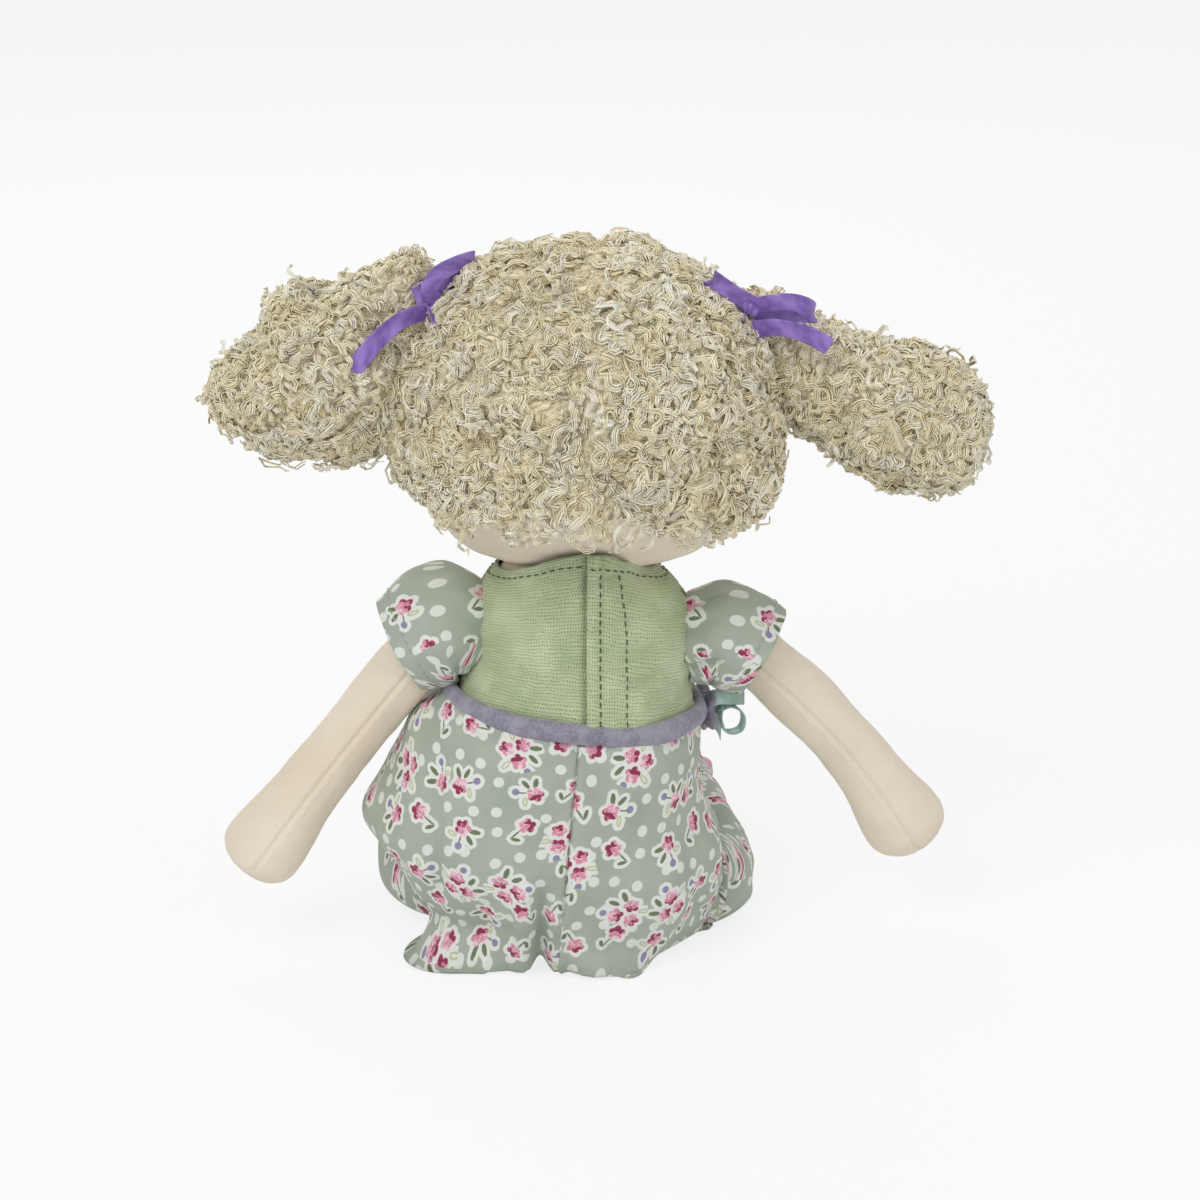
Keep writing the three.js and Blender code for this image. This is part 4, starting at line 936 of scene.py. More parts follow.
def sleeve_grid(name):
    side = SIDES[name]
    shoulder = joints[f"{name}_arm_swing"]
    dip = math.radians(SLEEVE_DIP)
    share = np.linspace(0, 1, 60)
    rows = smooth(SLEEVE_ROWS[name], share)
    lean = math.radians(ARMHOLE_TILT) * (1 - ease(share, 0, 0.75)) - dip * ease(share, 0, 0.75)
    cos, sin = np.cos(lean)[:, None], np.sin(lean)[:, None]
    axis = side * cos * LEFT + sin * UP
    over = cos * UP - side * sin * LEFT
    turns = even_turns(200)
    rng = np.random.default_rng(5 + side)
    folds = np.zeros((len(share), len(turns)))
    for _ in range(17):
        at = rng.uniform(0, TURN)
        width = rng.uniform(0.1, 0.22)
        reach = rng.uniform(0.35, 0.95)
        away = away_from(turns, at + rng.uniform(-0.25, 0.25) * share[:, None])
        folds -= rng.uniform(1.0, 2.3) * bump(away, 0, width) * (1 - ease(share, 0.1, reach))[:, None]
    for at, depth in ((0.9, 1.5), (2.4, 1.2), (4.4, 1.3)):
        folds -= depth * bump(away_from(turns, at), 0, 0.3) * ease(share, 0.35, 1)[:, None]
    radius = rows[:, 1, None] + folds + 0.5 * np.sin(turns * 9 + 1) * (rows[:, 2, None] - 0.3)
    centre = shoulder + axis * rows[:, [0]]
    spokes = np.cos(turns)[:, None] * BACK + np.sin(turns)[:, None] * over[:, None]
    grid = centre[:, None] + radius[..., None] * spokes
    return pushed(grid, 0.5 * ripple(grid, 17, 50 + side) * ease(share, 0.1, 0.3)[:, None], True)


def make_sleeve(name):
    grid = sleeve_grid(name)
    sleeve = piece(shell(f"{name}_puff_sleeve", grid, wrap=True), f"{name}_shoulder", "floral", floral,
                   f"{name}_sleeve")
    normals = grid_normals(grid, True)
    row = SLEEVE_HEM_ROW
    hem = stitches(f"{name}_sleeve_hem_stitches", grid[row], normals[row], f"{name}_shoulder", "thread",
                   sage_thread)


# Waist line, which leans down to the doll's right
WAIST_HEIGHT = 86.2
WAIST_LEAN = 0.10


def waist_height(x):
    return WAIST_HEIGHT + WAIST_LEAN * x


# Bodice
NECKLINE_RISE = 4.8
NECKLINE_DROP = 11
BODICE_OUT = 1.7
LAP = 1.7
LEFT_BACK_EDGE = -12
RIGHT_BACK_EDGE = -0.5
# Turns a distance across the back into an angle
BACK_RADIUS = 30
BODICE_ROWS = 80
NECK_STITCH_ROW = 74


def bodice_grid(low_angle, high_angle, columns, out):
    """Places of a panel between two angles, anticlockwise from the doll's left seen from above."""
    turns = np.linspace(low_angle, high_angle, columns)
    across = np.cos(turns)
    rise = np.linspace(0, 1, BODICE_ROWS)[:, None]
    top = TORSO_TOP + NECKLINE_RISE - NECKLINE_DROP * np.abs(np.cos(turns)) ** 1.6
    base = waist_height(40 * np.cos(turns)) - 2.5
    height = base + (top - base) * rise
    shape = torso_rows(np.minimum(height, 135.5))
    flare = 2.4 * bump(height - base, 6.5, 5)
    wide, deep = (shape[..., k] + out + flare - collar_tuck(height, k) for k in (0, 1))
    even = across * (1 + (BACK_RADIUS / wide - 1) * bump(across, 0, 0.5))
    even = np.clip(even - shape[..., 2] / wide * (1 - across**2), -1, 1)
    behind = deep * np.sqrt(1 - even**2) * np.sign(np.sin(turns))
    grid = np.stack([shape[..., 2] + wide * even, BODY_Y + behind, height], -1)
    inside = np.array([0, BODY_Y, 110.0])
    stretched = grid * [0.35, 0.35, 1.9]
    amount = 0.42 * ripple(stretched, 17, 61) + 0.22 * ripple(stretched, 7, 62)
    return pushed(grid, amount, False, inside), inside


def back_angle(x):
    return TURN / 4 - x / BACK_RADIUS


def off_sleeves(points):
    """Which places lie outside the round hollows of the sleeves."""
    far = [np.linalg.norm(points - joints[f"{name}_arm_swing"], axis=1) > SLEEVE_RADIUS - 5 for name in SIDES]
    return far[0] & far[1]


def make_bodice():
    seam = 0.006
    panels = {
        "front": (-math.pi + seam, -seam, 190, BODICE_OUT, (0.125, 0.064), 0.0062),
        "back_left": (seam, back_angle(LEFT_BACK_EDGE), 130, BODICE_OUT, (0.075, 0.062), 0.0039),
        "back_right": (back_angle(RIGHT_BACK_EDGE), math.pi - seam, 130, BODICE_OUT + 0.2,
                       (0.066, 0.062), 0.0034),
    }
    for name, (low, high, columns, out, flat, area) in panels.items():
        grid, inside = bodice_grid(low, high, columns, out)
        across = np.linspace(low, high, columns)
        normals = grid_normals(grid, False, inside)
        if name == "back_right":
            from_edge = (across - low) * BACK_RADIUS
            lap = LAP * (1 - ease(from_edge, 12, 26)) + 1.0 * bump(from_edge, 1.9, 1.4)
            lap = lap - 0.7 * bump(from_edge, 4.7, 0.8) - 0.3 * bump(from_edge, 12.2, 1.2)
            grid = grid + normals * lap[None, :, None]
        if name == "back_left":
            from_lap = (across - back_angle(RIGHT_BACK_EDGE)) * BACK_RADIUS
            grid = grid - normals * (0.9 * bump(from_lap, 0.6, 1.6))[None, :, None]
        hem = 0.35 * bump(np.linspace(0, 1, BODICE_ROWS), 0.98, 0.06)
        grid = grid + normals * hem[:, None, None]
        panel = piece(shell(f"bodice_{name}_panel", grid, wrap=False, inside=inside, keep=off_sleeves),
                      "torso", "gauze", gauze, f"bodice_{name}")
        normals = grid_normals(grid, False, inside)
        neck = grid[NECK_STITCH_ROW], normals[NECK_STITCH_ROW]
        lines = {"neck": neck}
        if name == "back_left":
            column = int(np.argmin(np.abs(across - back_angle(RIGHT_BACK_EDGE + 1))))
            lines = {"neck": tuple(row[:column] for row in neck)}
        if name == "back_right":
            for label, distance in (("edge", 4.4), ("inner", 11.8)):
                column = int(round((columns - 1) * distance / BACK_RADIUS / (high - low)))
                lines[label] = (grid[3:76, column], normals[3:76, column])
        made = [stitches(f"bodice_{name}_{label}_stitches", path, out_line, "torso", "thread", green_thread)
                for label, (path, out_line) in lines.items()]


def make_tapes():
    """Hook-and-loop tapes between the two backs."""
    for name, out in (("hook", 0.35), ("loop", 0.95)):
        grid, inside = bodice_grid(back_angle(-2.2), back_angle(-10.2), 14, BODICE_OUT + out)
        strip = shell(f"closure_{name}_strip", grid[18:62], thickness=0.5, inside=inside)
        piece(strip, "torso", "tape", tape, f"closure_{name}_tape")


# Romper body: height, reach to the left, to the right, to the back and to the front of the neck line
ROMPER_ROWS = [
    [0.4, 44, 30, 25, 24], [1.3, 49, 38, 31, 28], [4.5, 51.5, 43, 37, 33], [11, 53.5, 46, 41.5, 37],
    [19, 56, 47.5, 44, 40], [26, 61, 47.2, 45.3, 42], [33, 66.4, 46, 46, 43.5], [40, 72, 44.6, 46.2, 44.5],
    [47, 74.6, 41, 46, 45], [54, 72, 39.6, 45.6, 44.5], [61, 67.4, 39.2, 45, 44], [68, 63, 39.4, 44, 43],
    [75, 58.4, 39.2, 42.8, 41.4], [82, 53, 39, 41.2, 39.6], [88.5, 47, 38.6, 39.8, 38],
]
ROMPER_HEIGHT = 88.5
ROMPER_SEAM_TOP = 1.5
ROMPER_SEAM_FOOT = 9.5
ROMPER_SQUARE = 2.25
ROMPER_SEAM_DEPTH = 0.9


def romper_grid(side):
    """Half of the romper's body, from the front seam round the side to the back seam, top row first."""
    share = np.linspace(0, 1, 96)
    height = ROMPER_HEIGHT - (ROMPER_HEIGHT - ROMPER_ROWS[0][0]) * share
    table = smooth(ROMPER_ROWS, height)
    left, right, behind, ahead = table.T
    middle, half = (left - right) / 2, (left + right) / 2
    seam_x = ROMPER_SEAM_TOP + (ROMPER_SEAM_FOOT - ROMPER_SEAM_TOP) * (1 - height / ROMPER_HEIGHT)
    seam_share = (seam_x - middle) / half
    seam_turn = np.arccos(np.sign(seam_share) * np.abs(seam_share) ** (ROMPER_SQUARE / 2))
    across = np.linspace(0, 1, 150)
    turns = (2 * across - 1) * seam_turn[:, None]
    if side < 0:
        turns = seam_turn[:, None] + (TURN - 2 * seam_turn[:, None]) * (1 - across)
    cos, sin = np.cos(turns), np.sin(turns)
    deep = np.where(sin > 0, behind[:, None], ahead[:, None])
    x = middle[:, None] + half[:, None] * squarer(cos, ROMPER_SQUARE)
    low_right = ease(-x, 0, 50) * (1 - ease(height, 6, 34))[:, None]
    y = BODY_Y + deep * squarer(sin, ROMPER_SQUARE) - 15 * low_right * (sin > 0)
    z = height[:, None] + WAIST_LEAN * x * ease(height, 50, 86)[:, None]
    return np.stack([x, y, z], -1), turns, height[:, None]


# Folds of the romper's back: place across at the top and foot, low and high ends, depth and width
ROMPER_FOLDS = [
    [13, 15.5, -6, 46, -4.6, 2.6], [19, 21, -6, 44, 3.4, 3.8], [6, 9, -6, 34, 2.2, 2.4],
    [31, 36, 2, 34, -2.8, 4], [-12, -8, 2, 24, -2.6, 3.2], [-20, -24, 4, 36, 1.6, 6],
    [-33, -40, 10, 60, -1.6, 4], [50, 47, 28, 84, -2.0, 2.0],
    [38, 44, 34, 80, 0.9, 6], [26, 27, 40, 78, -0.7, 5], [-17, -20, 36, 74, -0.8, 5],
]
# Lobes that lie on the floor behind: place across, height, half width, half height and reach
ROMPER_LOBES = [[45, 3, 10, 5.5, 17], [33, 3, 8, 5, 6], [-12, 2.5, 7, 4.5, 10.5], [-2, 4, 7, 4, 3.5]]


def romper_folds(grid, level):
    amount = np.zeros(grid.shape[:2])
    behind = ease(grid[..., 1], BODY_Y + 2, BODY_Y + 14)
    for top, foot, low, high, depth, width in ROMPER_FOLDS:
        line = top + (foot - top) * (1 - level / ROMPER_HEIGHT)
        end = ease(level, low - 4, low + 6) * (1 - ease(level, high - 22, high))
        amount += depth * bump(grid[..., 0], line, width) * end * behind
    return amount


def make_romper():
    inside = np.array([8, BODY_Y, 45.0])
    for name, side in SIDES.items():
        grid, turns, level = romper_grid(side)
        rng = np.random.default_rng(70 + side)
        gathers = np.zeros(grid.shape[:2])
        for _ in range(26):
            line = rng.uniform(0, TURN)
            depth, width = rng.uniform(0.3, 1.0), rng.uniform(0.02, 0.05)
            gathers -= depth * bump(away_from(turns, line), 0, width) * ease(level, rng.uniform(58, 76), 88)
        amount = romper_folds(grid, level) + gathers - 2.2 * ease(level, 78, 87)
        amount += (1.1 * ripple(grid, 44, 81) + 0.45 * ripple(grid, 17, 82)) * ease(level, 0, 8)
        behind = ease(grid[..., 1], BODY_Y, BODY_Y + 16)
        for across, up, half_across, half_up, reach in ROMPER_LOBES:
            amount += reach * bump(grid[..., 0], across, half_across) * bump(level, up, half_up) * behind
        amount -= 2.4 * bump(grid[..., 0], 46, 14) * bump(level, 15, 3.5) * behind
        grid = pushed(grid, amount, False, inside)
        columns = np.linalg.norm(np.diff(grid, axis=1), axis=2)
        from_front = np.concatenate([np.zeros((len(grid), 1)), np.cumsum(columns, 1)], 1)
        from_back = from_front[:, [-1]] - from_front
        seams = seam_dip(from_back, ROMPER_SEAM_DEPTH) + seam_dip(from_front, ROMPER_SEAM_DEPTH)
        grid = pushed(grid, seams, False, inside)
        flatten_low(grid, 1.15)
        half = shell(f"romper_{name}_body", grid, inside=inside, middle=-1)
        romper = piece(half, "torso", "floral", floral, f"romper_{name}")


# Romper leg: distance ahead of the hip, height, half width and half height, in millimetres
ROMPER_LEG_ROWS = [
    [-14, 24, 19, 15], [-9, 23.5, 26.5, 20], [0, 23, 31.5, 22.4], [10, 23.2, 31, 22.6], [22, 23.6, 28, 22.6],
    [36, 23.5, 25, 21.6], [50, 22.2, 22, 20], [59, 21.6, 18.8, 18.4], [64, 21.4, 17.6, 17.6],
    [68, 21.2, 18.6, 18], [75, 21, 21.4, 19.8],
]
ROMPER_LEG_SAG = {"left": 0, "right": 7}


def make_romper_leg(name):
    side = SIDES[name]
    rows = curve(ROMPER_LEG_ROWS, 84)
    sag = ROMPER_LEG_SAG[name] * bump(rows[:, 0], 0, 26)
    path = leg_path(name, rows[:, 0], rows[:, 1] - sag)
    across = np.cross(leg_ahead(side), UP)
    turns = even_turns(170)
    grid = sweep(path, rows[:, 2] + 0.5 * sag, rows[:, 3] - 0.5 * sag, across, turns, 2.5)
    rng = np.random.default_rng(90 + side)
    near_cuff = bump(rows[:, 0], 64, 16)[:, None]
    folds = np.zeros(grid.shape[:2])
    for k in range(22):
        line = (k + rng.uniform(-0.3, 0.3)) / 22 * TURN
        folds -= rng.uniform(0.5, 1.4) * bump(away_from(turns, line), 0, 0.075) * near_cuff
    for _ in range(7):
        away = away_from(turns, rng.uniform(0, TURN))
        depth, centre = rng.uniform(0.8, 2.0), rng.uniform(10, 40)
        folds -= depth * bump(away, 0, 0.2) * bump(rows[:, 0], centre, 26)[:, None]
    ruffle = 0.9 * np.sin(turns * 11 + side) * ease(rows[:, 0], 66, 75)[:, None]
    amount = folds + ruffle + 0.8 * ripple(grid, 26, 95 + side) * ease(rows[:, 0], -8, 6)[:, None]
    grid = pushed(grid, amount, True)
    flatten_low(grid, 1.0)
    leg = piece(shell(f"{name}_romper_leg_cloth", grid, wrap=True), f"{name}_leg", "floral", floral,
                f"{name}_romper_leg")


def make_elastics():
    turns = even_turns(120)
    for name, side in SIDES.items():
        low, high = node_box(f"{name}_leg_elastic")
        ahead = leg_ahead(side)
        tie = node_middle(f"{name}_hair_elastic")
        rows = np.array(PIGTAIL_ROWS[name])
        tie[2], tie_radius = (np.interp(abs(tie[0]), np.abs(rows[:, 0]), rows[:, k]) for k in (1, 2))
        elastics = {
            "leg": (f"{name}_leg", (low + high) / 2, (high[2] - low[2]) / 2 - 0.6, np.cross(ahead, UP), ahead,
                    0.5 + 0.12 * np.sin(turns * 40), 2.4),
            "hair": ("head", tie, tie_radius, BACK, LEFT, 1.0 + 0.15 * np.sin(turns * 30), 2.3),
        }
        for kind, (body, middle, radius, side_out, along, thick, tall) in elastics.items():
            out = np.cos(turns)[:, None] * side_out + np.sin(turns)[:, None] * UP
            made = band(f"{name}_{kind}_elastic_band", middle + radius * out, out, along, thick, tall, 12)
            piece(made, body, "elastic", elastic, f"{name}_{kind}_elastic")


def waist_path(out, turns, drop=0.0):
    shape = torso_rows(np.array([WAIST_HEIGHT]))[0]
    x = shape[2] + (shape[0] + out) * np.cos(turns)
    y = BODY_Y + (shape[1] + out) * np.sin(turns)
    return np.column_stack([x, y, waist_height(x) - drop])


def away_from_waist(places):
    return unit(places * [1, 1, 0] - np.array([3.6, BODY_Y, 0]))


def make_sash():
    turns = even_turns(300)
    path = waist_path(5.2, turns)
    out = away_from_waist(path)
    path = path + UP * (0.5 * ripple(path, 40, 110))[:, None]
    pinch = 1 - 0.22 * bump(turns, TURN / 4 + 0.2, 0.025)
    thick = (2.7 + 0.2 * ripple(path, 22, 111)) * pinch
    tall = (3.6 + 0.3 * ripple(path, 30, 112)) * pinch
    sash = piece(band("velour_sash", path, out, UP, thick, tall[:, None], 28), "torso", "velour", velour,
                 "waist_sash")


def ribbon(name, points, flat_sides, width, body, slot, material, *nodes):
    """A satin ribbon along a smooth curve. Each point has the direction in which the ribbon lies flat."""
    rows = curve(np.column_stack([points, flat_sides]), 90)
    path, side = rows[:, :3], rows[:, 3:]
    along = unit(np.gradient(path, axis=0))
    side = unit(side - (side * along).sum(1, keepdims=True) * along)
    out = np.cross(along, side)
    across = np.linspace(-1, 1, 13)
    grid = (path[:, None] + (across * width / 2)[None, :, None] * side[:, None]
            + (RIBBON_CROWN * (1 - across**2))[None, :, None] * out[:, None])
    inside = path.mean(0) - out.mean(0) * 500
    made = shell(name, np.swapaxes(grid, 0, 1), thickness=RIBBON_THICKNESS, inside=inside)
    return piece(made, body, slot, material, *nodes)


def knot(name, centre, half, lean, body, slot, material, *nodes):
    """A soft wrapped knot, long in the lean direction."""
    lean = unit(np.array(lean, float))
    share = np.linspace(-1, 1, 30)
    radius = np.sqrt(np.maximum(0.01, 1 - np.abs(share) ** 3.2))
    side = unit(np.cross(lean, [0.2, 0.9, 0.3]))
    turns = even_turns(40)
    path = np.array(centre) + lean * (half[0] * share)[:, None]
    grid = sweep(path, half[1] * radius, half[2] * radius, side, turns)
    wraps = 0.25 * np.sin(share * 9)[:, None] * radius[:, None]
    made = skin(name, pushed(grid, wraps + 0.2 * ripple(grid, 6, 120), True))
    return piece(made, body, slot, material, *nodes)


# The trimming's bow: how each ribbon lies flat, then its places along the waist, outwards and up
TRIM_BOW = {
    "low_loop": ("along", [[-3, 0, 0], [-5, 3.5, 1], [-6, 7.5, -2.5], [-6, 6.5, -7.5], [-6, 1.5, -8],
                           [-5, -0.5, -4], [-3, 0, 0]]),
    "top_loop": ("up", [[-2, 0, 0], [-5, -6, 3], [-7, -3, 5], [-8, 3, 5], [-6, 7.5, 4], [-3, 5, 3],
                        [-1, 0, 1]]),
    "tail": ("along", [[0, 0.3, 0], [4, 2, -6], [8, 3, -14]]),
}


def make_trim():
    """Velour petals under a satin bow, at the doll's right side of the waist."""
    middle = node_middle("velour_petals")
    out = away_from_waist(middle)
    along = np.cross(UP, out)
    turns = even_turns(150)
    share = np.linspace(0, 1, 26)[:, None]
    lobes = 0.5 + 0.5 * np.cos(5 * turns + 0.6)
    reach = 12.5 * (0.62 + 0.38 * lobes) * np.sin(math.pi * np.clip(share * 0.92 + 0.04, 0, 1)) ** 0.55
    rise = -2.0 + 5.0 * share - 1.2 * (1 - lobes) * np.sin(math.pi * share)
    grid = (middle + rise[..., None] * out + (reach * np.cos(turns))[..., None] * along
            + (reach * 0.78 * np.sin(turns))[..., None] * UP)
    petals = piece(skin("velour_flower", grid), "torso", "velour", velour, "velour_petals")

    base = middle + out * 4.6
    finish = "torso", "mint_satin", mint_satin, "satin_bow"
    for name, (flat, rows) in TRIM_BOW.items():
        points = base + np.array(rows) @ np.array([along, out, UP])
        flats = np.tile(along if flat == "along" else UP, (len(rows), 1))
        ribbon(f"satin_{name}", points, flats, 5.6, *finish)
    knot("satin_knot", base + out * 1.2, (2.6, 2.4, 2.2), along, *finish)


# Hair bows: places to the side, back and up from the hair elastic, then the flat direction
HAIR_BOWS = {
    "left": {
        "top_loop": (
            [[-7, 17, 3], [-6, 20, 8.5], [-8, 19.5, 12.5], [-13.5, 16, 15.5], [-20, 10, 16],
             [-13.5, 12, 11.5], [-7, 14.5, 2]],
            [[0.9, 0.2, 0.1], [0.9, 0.2, 0.2], [0.8, 0.3, 0.5], [0.4, 0.4, 0.9], [0.2, 0.4, 1],
             [0.6, 0.4, 0.5], [0.9, 0.3, 0]]),
        "front_loop": (
            [[-5, 16, 3], [-2, 11, 8], [2, 4, 10], [4, -4, 9], [2, 1, 6.5], [-5, 13, 2]],
            [[1, 0, 0]] * 6),
        "long_tail": (
            [[-5, 18, 1], [3, 24, -0.5], [9.5, 27.5, -5], [15, 29, -11], [19, 29, -16.5]],
            [[0.2, 0.3, 1], [0.3, 0.2, 1], [0.6, 0.1, 0.8], [0.8, 0, 0.6], [0.8, 0, 0.6]]),
        "short_tail": (
            [[-6, 16, 3], [-10, 21, -4], [-11, 21, -12]],
            [[0.6, 0.2, 0.6], [0.9, 0.2, 0.2], [1, 0.2, 0]]),
    },
    "right": {
        "top_loop": (
            [[1, 19, 3], [7, 21.5, 7], [12.5, 20, 10.5], [15, 14, 11], [8, 13, 6], [1, 16, 2]],
            [[-0.5, 0.3, 1], [-0.5, 0.3, 1], [-0.5, 0.3, 0.9], [-0.3, 0.6, 0.6], [-0.4, 0.3, 1],
             [-0.4, 0.3, 1]]),
        "outer_loop": (
            [[1, 19, 2.5], [-5, 22.5, 4.8], [-11, 23, 5.2], [-16, 21, 3], [-18, 17, -0.5], [-12, 16.5, -0.5],
             [1, 17, 0.5]],
            [[0, 0.3, 1], [0, 0.2, 1], [0, 0.2, 1], [0, 0.2, 1], [0, 0.4, 1], [0, 0.4, 1], [0, 0.3, 1]]),
        "long_tail": (
            [[1, 19, -5], [-6, 24, -3], [-12, 26, -3.6], [-18, 27, -5.6], [-23, 27, -8.6]],
            [[0, 0.2, 1], [0, 0.2, 1], [-0.1, 0.2, 1], [-0.3, 0.1, 1], [-0.4, 0.1, 0.9]]),
        "short_tail": (
            [[3, 16, 2], [7, 18, -3], [9, 19, -11]],
            [[0.6, 0.2, 0.6], [-0.9, 0.2, 0.2], [-1, 0.2, 0]]),
    },
}
BOW_KNOTS = {"left": [-7, 15, 3], "right": [2, 17.5, 2.5]}
RIBBON_WIDTH = 6


def make_hair_bows():
    for name, side in SIDES.items():
        tie = joints[f"{name}_pigtail_lift"]
        finish = "head", "purple_satin", purple_satin, f"{name}_hair_bow"
        for part, (places, flats) in HAIR_BOWS[name].items():
            ribbon(f"{name}_bow_{part}", tie + np.array(places), np.array(flats), RIBBON_WIDTH, *finish)
        knot(f"{name}_bow_knot", tie + np.array(BOW_KNOTS[name]), (3.8, 2.8, 2.8), [-side, 0.2, 0.6], *finish)


# Hair
CURL_HEIGHT = 3.2
WIG_EDGE_ROWS = [[-180, 157], [-90, 160], [-45, 160], [0, 163], [45, 163], [90, 166], [135, 160], [180, 157]]
FACE_HALF_WIDTH = 40
FACE_HEIGHT = 179
FRINGE_HEIGHT = 210
wig_middle = head_middle
wig_half = head_half + np.array([15, 15, 9]) - CURL_HEIGHT


def wig_reach(directions):
    """Distance of the wig's base from the middle of the head, with the photographed lobes."""
    level = np.linalg.norm(directions[..., :2] / wig_half[:2], axis=-1)
    rise = np.abs(directions[..., 2]) / wig_half[2]
    power = np.where(directions[..., 2] < 0, 3.0, 2.0)
    reach = (level**power + rise**power) ** (-1 / power)
    lobes = [
        ([-0.85, 0.25, -0.55], 0.4, 1.5), ([0.8, 0.3, -0.6], 0.35, -5.5), ([0, 0.1, 1], 0.7, -0.5),
        ([0.5, 0.4, 0.8], 0.3, 3.5), ([-0.4, 0.5, 0.8], 0.3, 3.5), ([0.25, 0.75, -0.5], 0.3, 2.0),
    ]
    for centre, width, height in lobes:
        away = np.arccos(np.clip(directions @ unit(np.array(centre, float)), -1, 1))
        reach = reach + height * bump(away, 0, width)
    return reach + 1.6 * ripple(directions * 60, 32, 130) + 1.7 * ripple(directions * 60, 15, 131)


def sphere_directions(count):
    """Even directions on a sphere."""
    k = np.arange(count) + 0.5
    z = 1 - 2 * k / count
    turn = k * math.pi * (3 - math.sqrt(5))
    flat = np.sqrt(1 - z**2)
    return np.column_stack([flat * np.cos(turn), flat * np.sin(turn), z])


def has_wig(points, margin=0.0):
    """Whether the wig covers a place: above its edge and off the face."""
    away = points - wig_middle
    angle = np.degrees(np.arctan2(away[:, 1], away[:, 0]))
    edge = smooth(WIG_EDGE_ROWS, angle)[:, 0]
    rise = (points[:, 2] - FACE_HEIGHT) / (FRINGE_HEIGHT - FACE_HEIGHT)
    face = ((away[:, 0] / FACE_HALF_WIDTH) ** 2 + rise**2 < 1) & (away[:, 1] < 0)
    return (points[:, 2] > edge - margin) & ~face


def wig_surface():
    rows, columns = 120, 220
    tilt = np.linspace(0.02, math.pi - 0.02, rows)[:, None]
    turns = even_turns(columns)
    directions = np.stack(
        np.broadcast_arrays(np.sin(tilt) * np.cos(turns), np.sin(tilt) * np.sin(turns), np.cos(tilt)), -1)
    return wig_middle + directions * wig_reach(directions.reshape(-1, 3)).reshape(rows, columns, 1)


def make_wig_base():
    base = shell("wig_base", wig_surface(), thickness=5.0, wrap=True, keep=has_wig)
    piece(base, "head", "hair", fine_mohair, "wig_cap")


STRAND_STEPS = 20
LOCK_STRANDS = 5
WIG_LOCKS = 2500
WIG_GROUPS = 8
PIGTAIL_LOCKS = 720
PIGTAIL_GROUPS = 3
PIGTAIL_STEPS = 80
PIGTAIL_COLUMNS = 120
# Steps of this share of a turn spread the locks evenly
GOLDEN_SHARE = 0.618034


def surface_tree(grid):
    """Finds the nearest place and outward direction on a grid that closes round its columns."""
    rows, columns = grid.shape[:2]
    points = grid.reshape(-1, 3)
    faces = quads(rows, columns, True)
    faces = outward(points, faces, grid_normals(grid, True).reshape(-1, 3))[0]
    return BVHTree.FromPolygons(points.tolist(), faces.tolist())


def add_locks(name, body, node, tree, roots, normals, flow, seed, lift):
    """Locks of fine strands side by side, which lie in waves along a surface and end in a curl."""
    rng = np.random.default_rng(seed)
    count = len(roots)

    def one_each(low, high):
        return rng.uniform(low, high, (count, 1))

    share = np.linspace(0, 1, STRAND_STEPS)
    axes = unit(flow + 0.42 * rng.normal(size=(count, 3)))
    axes = unit(axes - (axes * normals).sum(1, keepdims=True) * normals)
    sideways = np.cross(normals, axes)
    length = rng.uniform(17, 30, count)
    waves = length / rng.uniform(8.5, 12, count)
    heading = one_each(0.9, 1.5) * np.cos(TURN * waves[:, None] * share + one_each(0, TURN))
    heading = heading + rng.choice([-1, 1], count)[:, None] * one_each(1.5, 6.5) * ease(share, 0.6, 1.15)
    step = length[:, None, None] / (STRAND_STEPS - 1)
    course = np.cos(heading)[..., None] * axes[:, None] + np.sin(heading)[..., None] * sideways[:, None]
    middle = roots[:, None] + np.cumsum(course * step, 1) - course[:, :1] * step
    found = [tree.find_nearest(place) for place in middle.reshape(-1, 3).tolist()]
    place = np.array([row[0][:] for row in found]).reshape(middle.shape)
    out = unit(np.array([row[1][:] for row in found]).reshape(middle.shape))
    layer = one_each(0.2, 2.4)
    swell = one_each(0.3, 1.1) * np.cos(2 * TURN * waves[:, None] * share + one_each(0, TURN))
    rise = layer * ease(share, -0.1, 0.2) + swell + 0.5
    loose = (rng.uniform(size=count) < lift)[:, None]
    rise = rise + loose * one_each(1.5, 4.5) * ease(share, 0.35, 1)
    middle = place + out * rise[..., None]
    along = unit(np.gradient(middle, axis=1))
    beside = unit(np.cross(along, out))
    # Painted light: locks that lie higher above the surface get a lighter tone, added to a random one.
    height_light_and_tone = np.clip(0.3 + 0.2 * layer + 0.2 * rng.normal(size=(count, 1)), 0.05, 1)
    spines, radii, tones_and_painted_light = [], [], []
    for strand in range(LOCK_STRANDS):
        across = strand - (LOCK_STRANDS - 1) / 2
        spread = (across + 0.3 * rng.normal(size=(count, 1))) * one_each(0.38, 0.6) * (1 - 0.45 * share**3)
        drop = 0.07 * across**2 + 0.25 * np.abs(rng.normal(size=(count, 1)))
        spines.append(middle + spread[..., None] * beside - drop[..., None] * out)
        radii.append(one_each(0.15, 0.28) * (1 - 0.6 * share**8))
        # Painted light and shade: each strand is painted lighter on the crests of its waves and darker
        # towards its root, over a random tone per strand.
        crest = 0.5 + 0.5 * swell
        strand_tone_and_light = height_light_and_tone + 0.16 * rng.normal(size=(count, 1))
        tones_and_painted_light.append(np.clip(strand_tone_and_light * (0.6 + 0.4 * ease(share, 0, 0.25)) * (0.8 + 0.3 * crest), 0, 1))
    lean = np.concatenate([normals] * LOCK_STRANDS)
    obj = tubes(name, np.concatenate(spines), np.concatenate(radii), lean, 3, np.concatenate(tones_and_painted_light))
    return piece(obj, body, "hair", mohair, node)


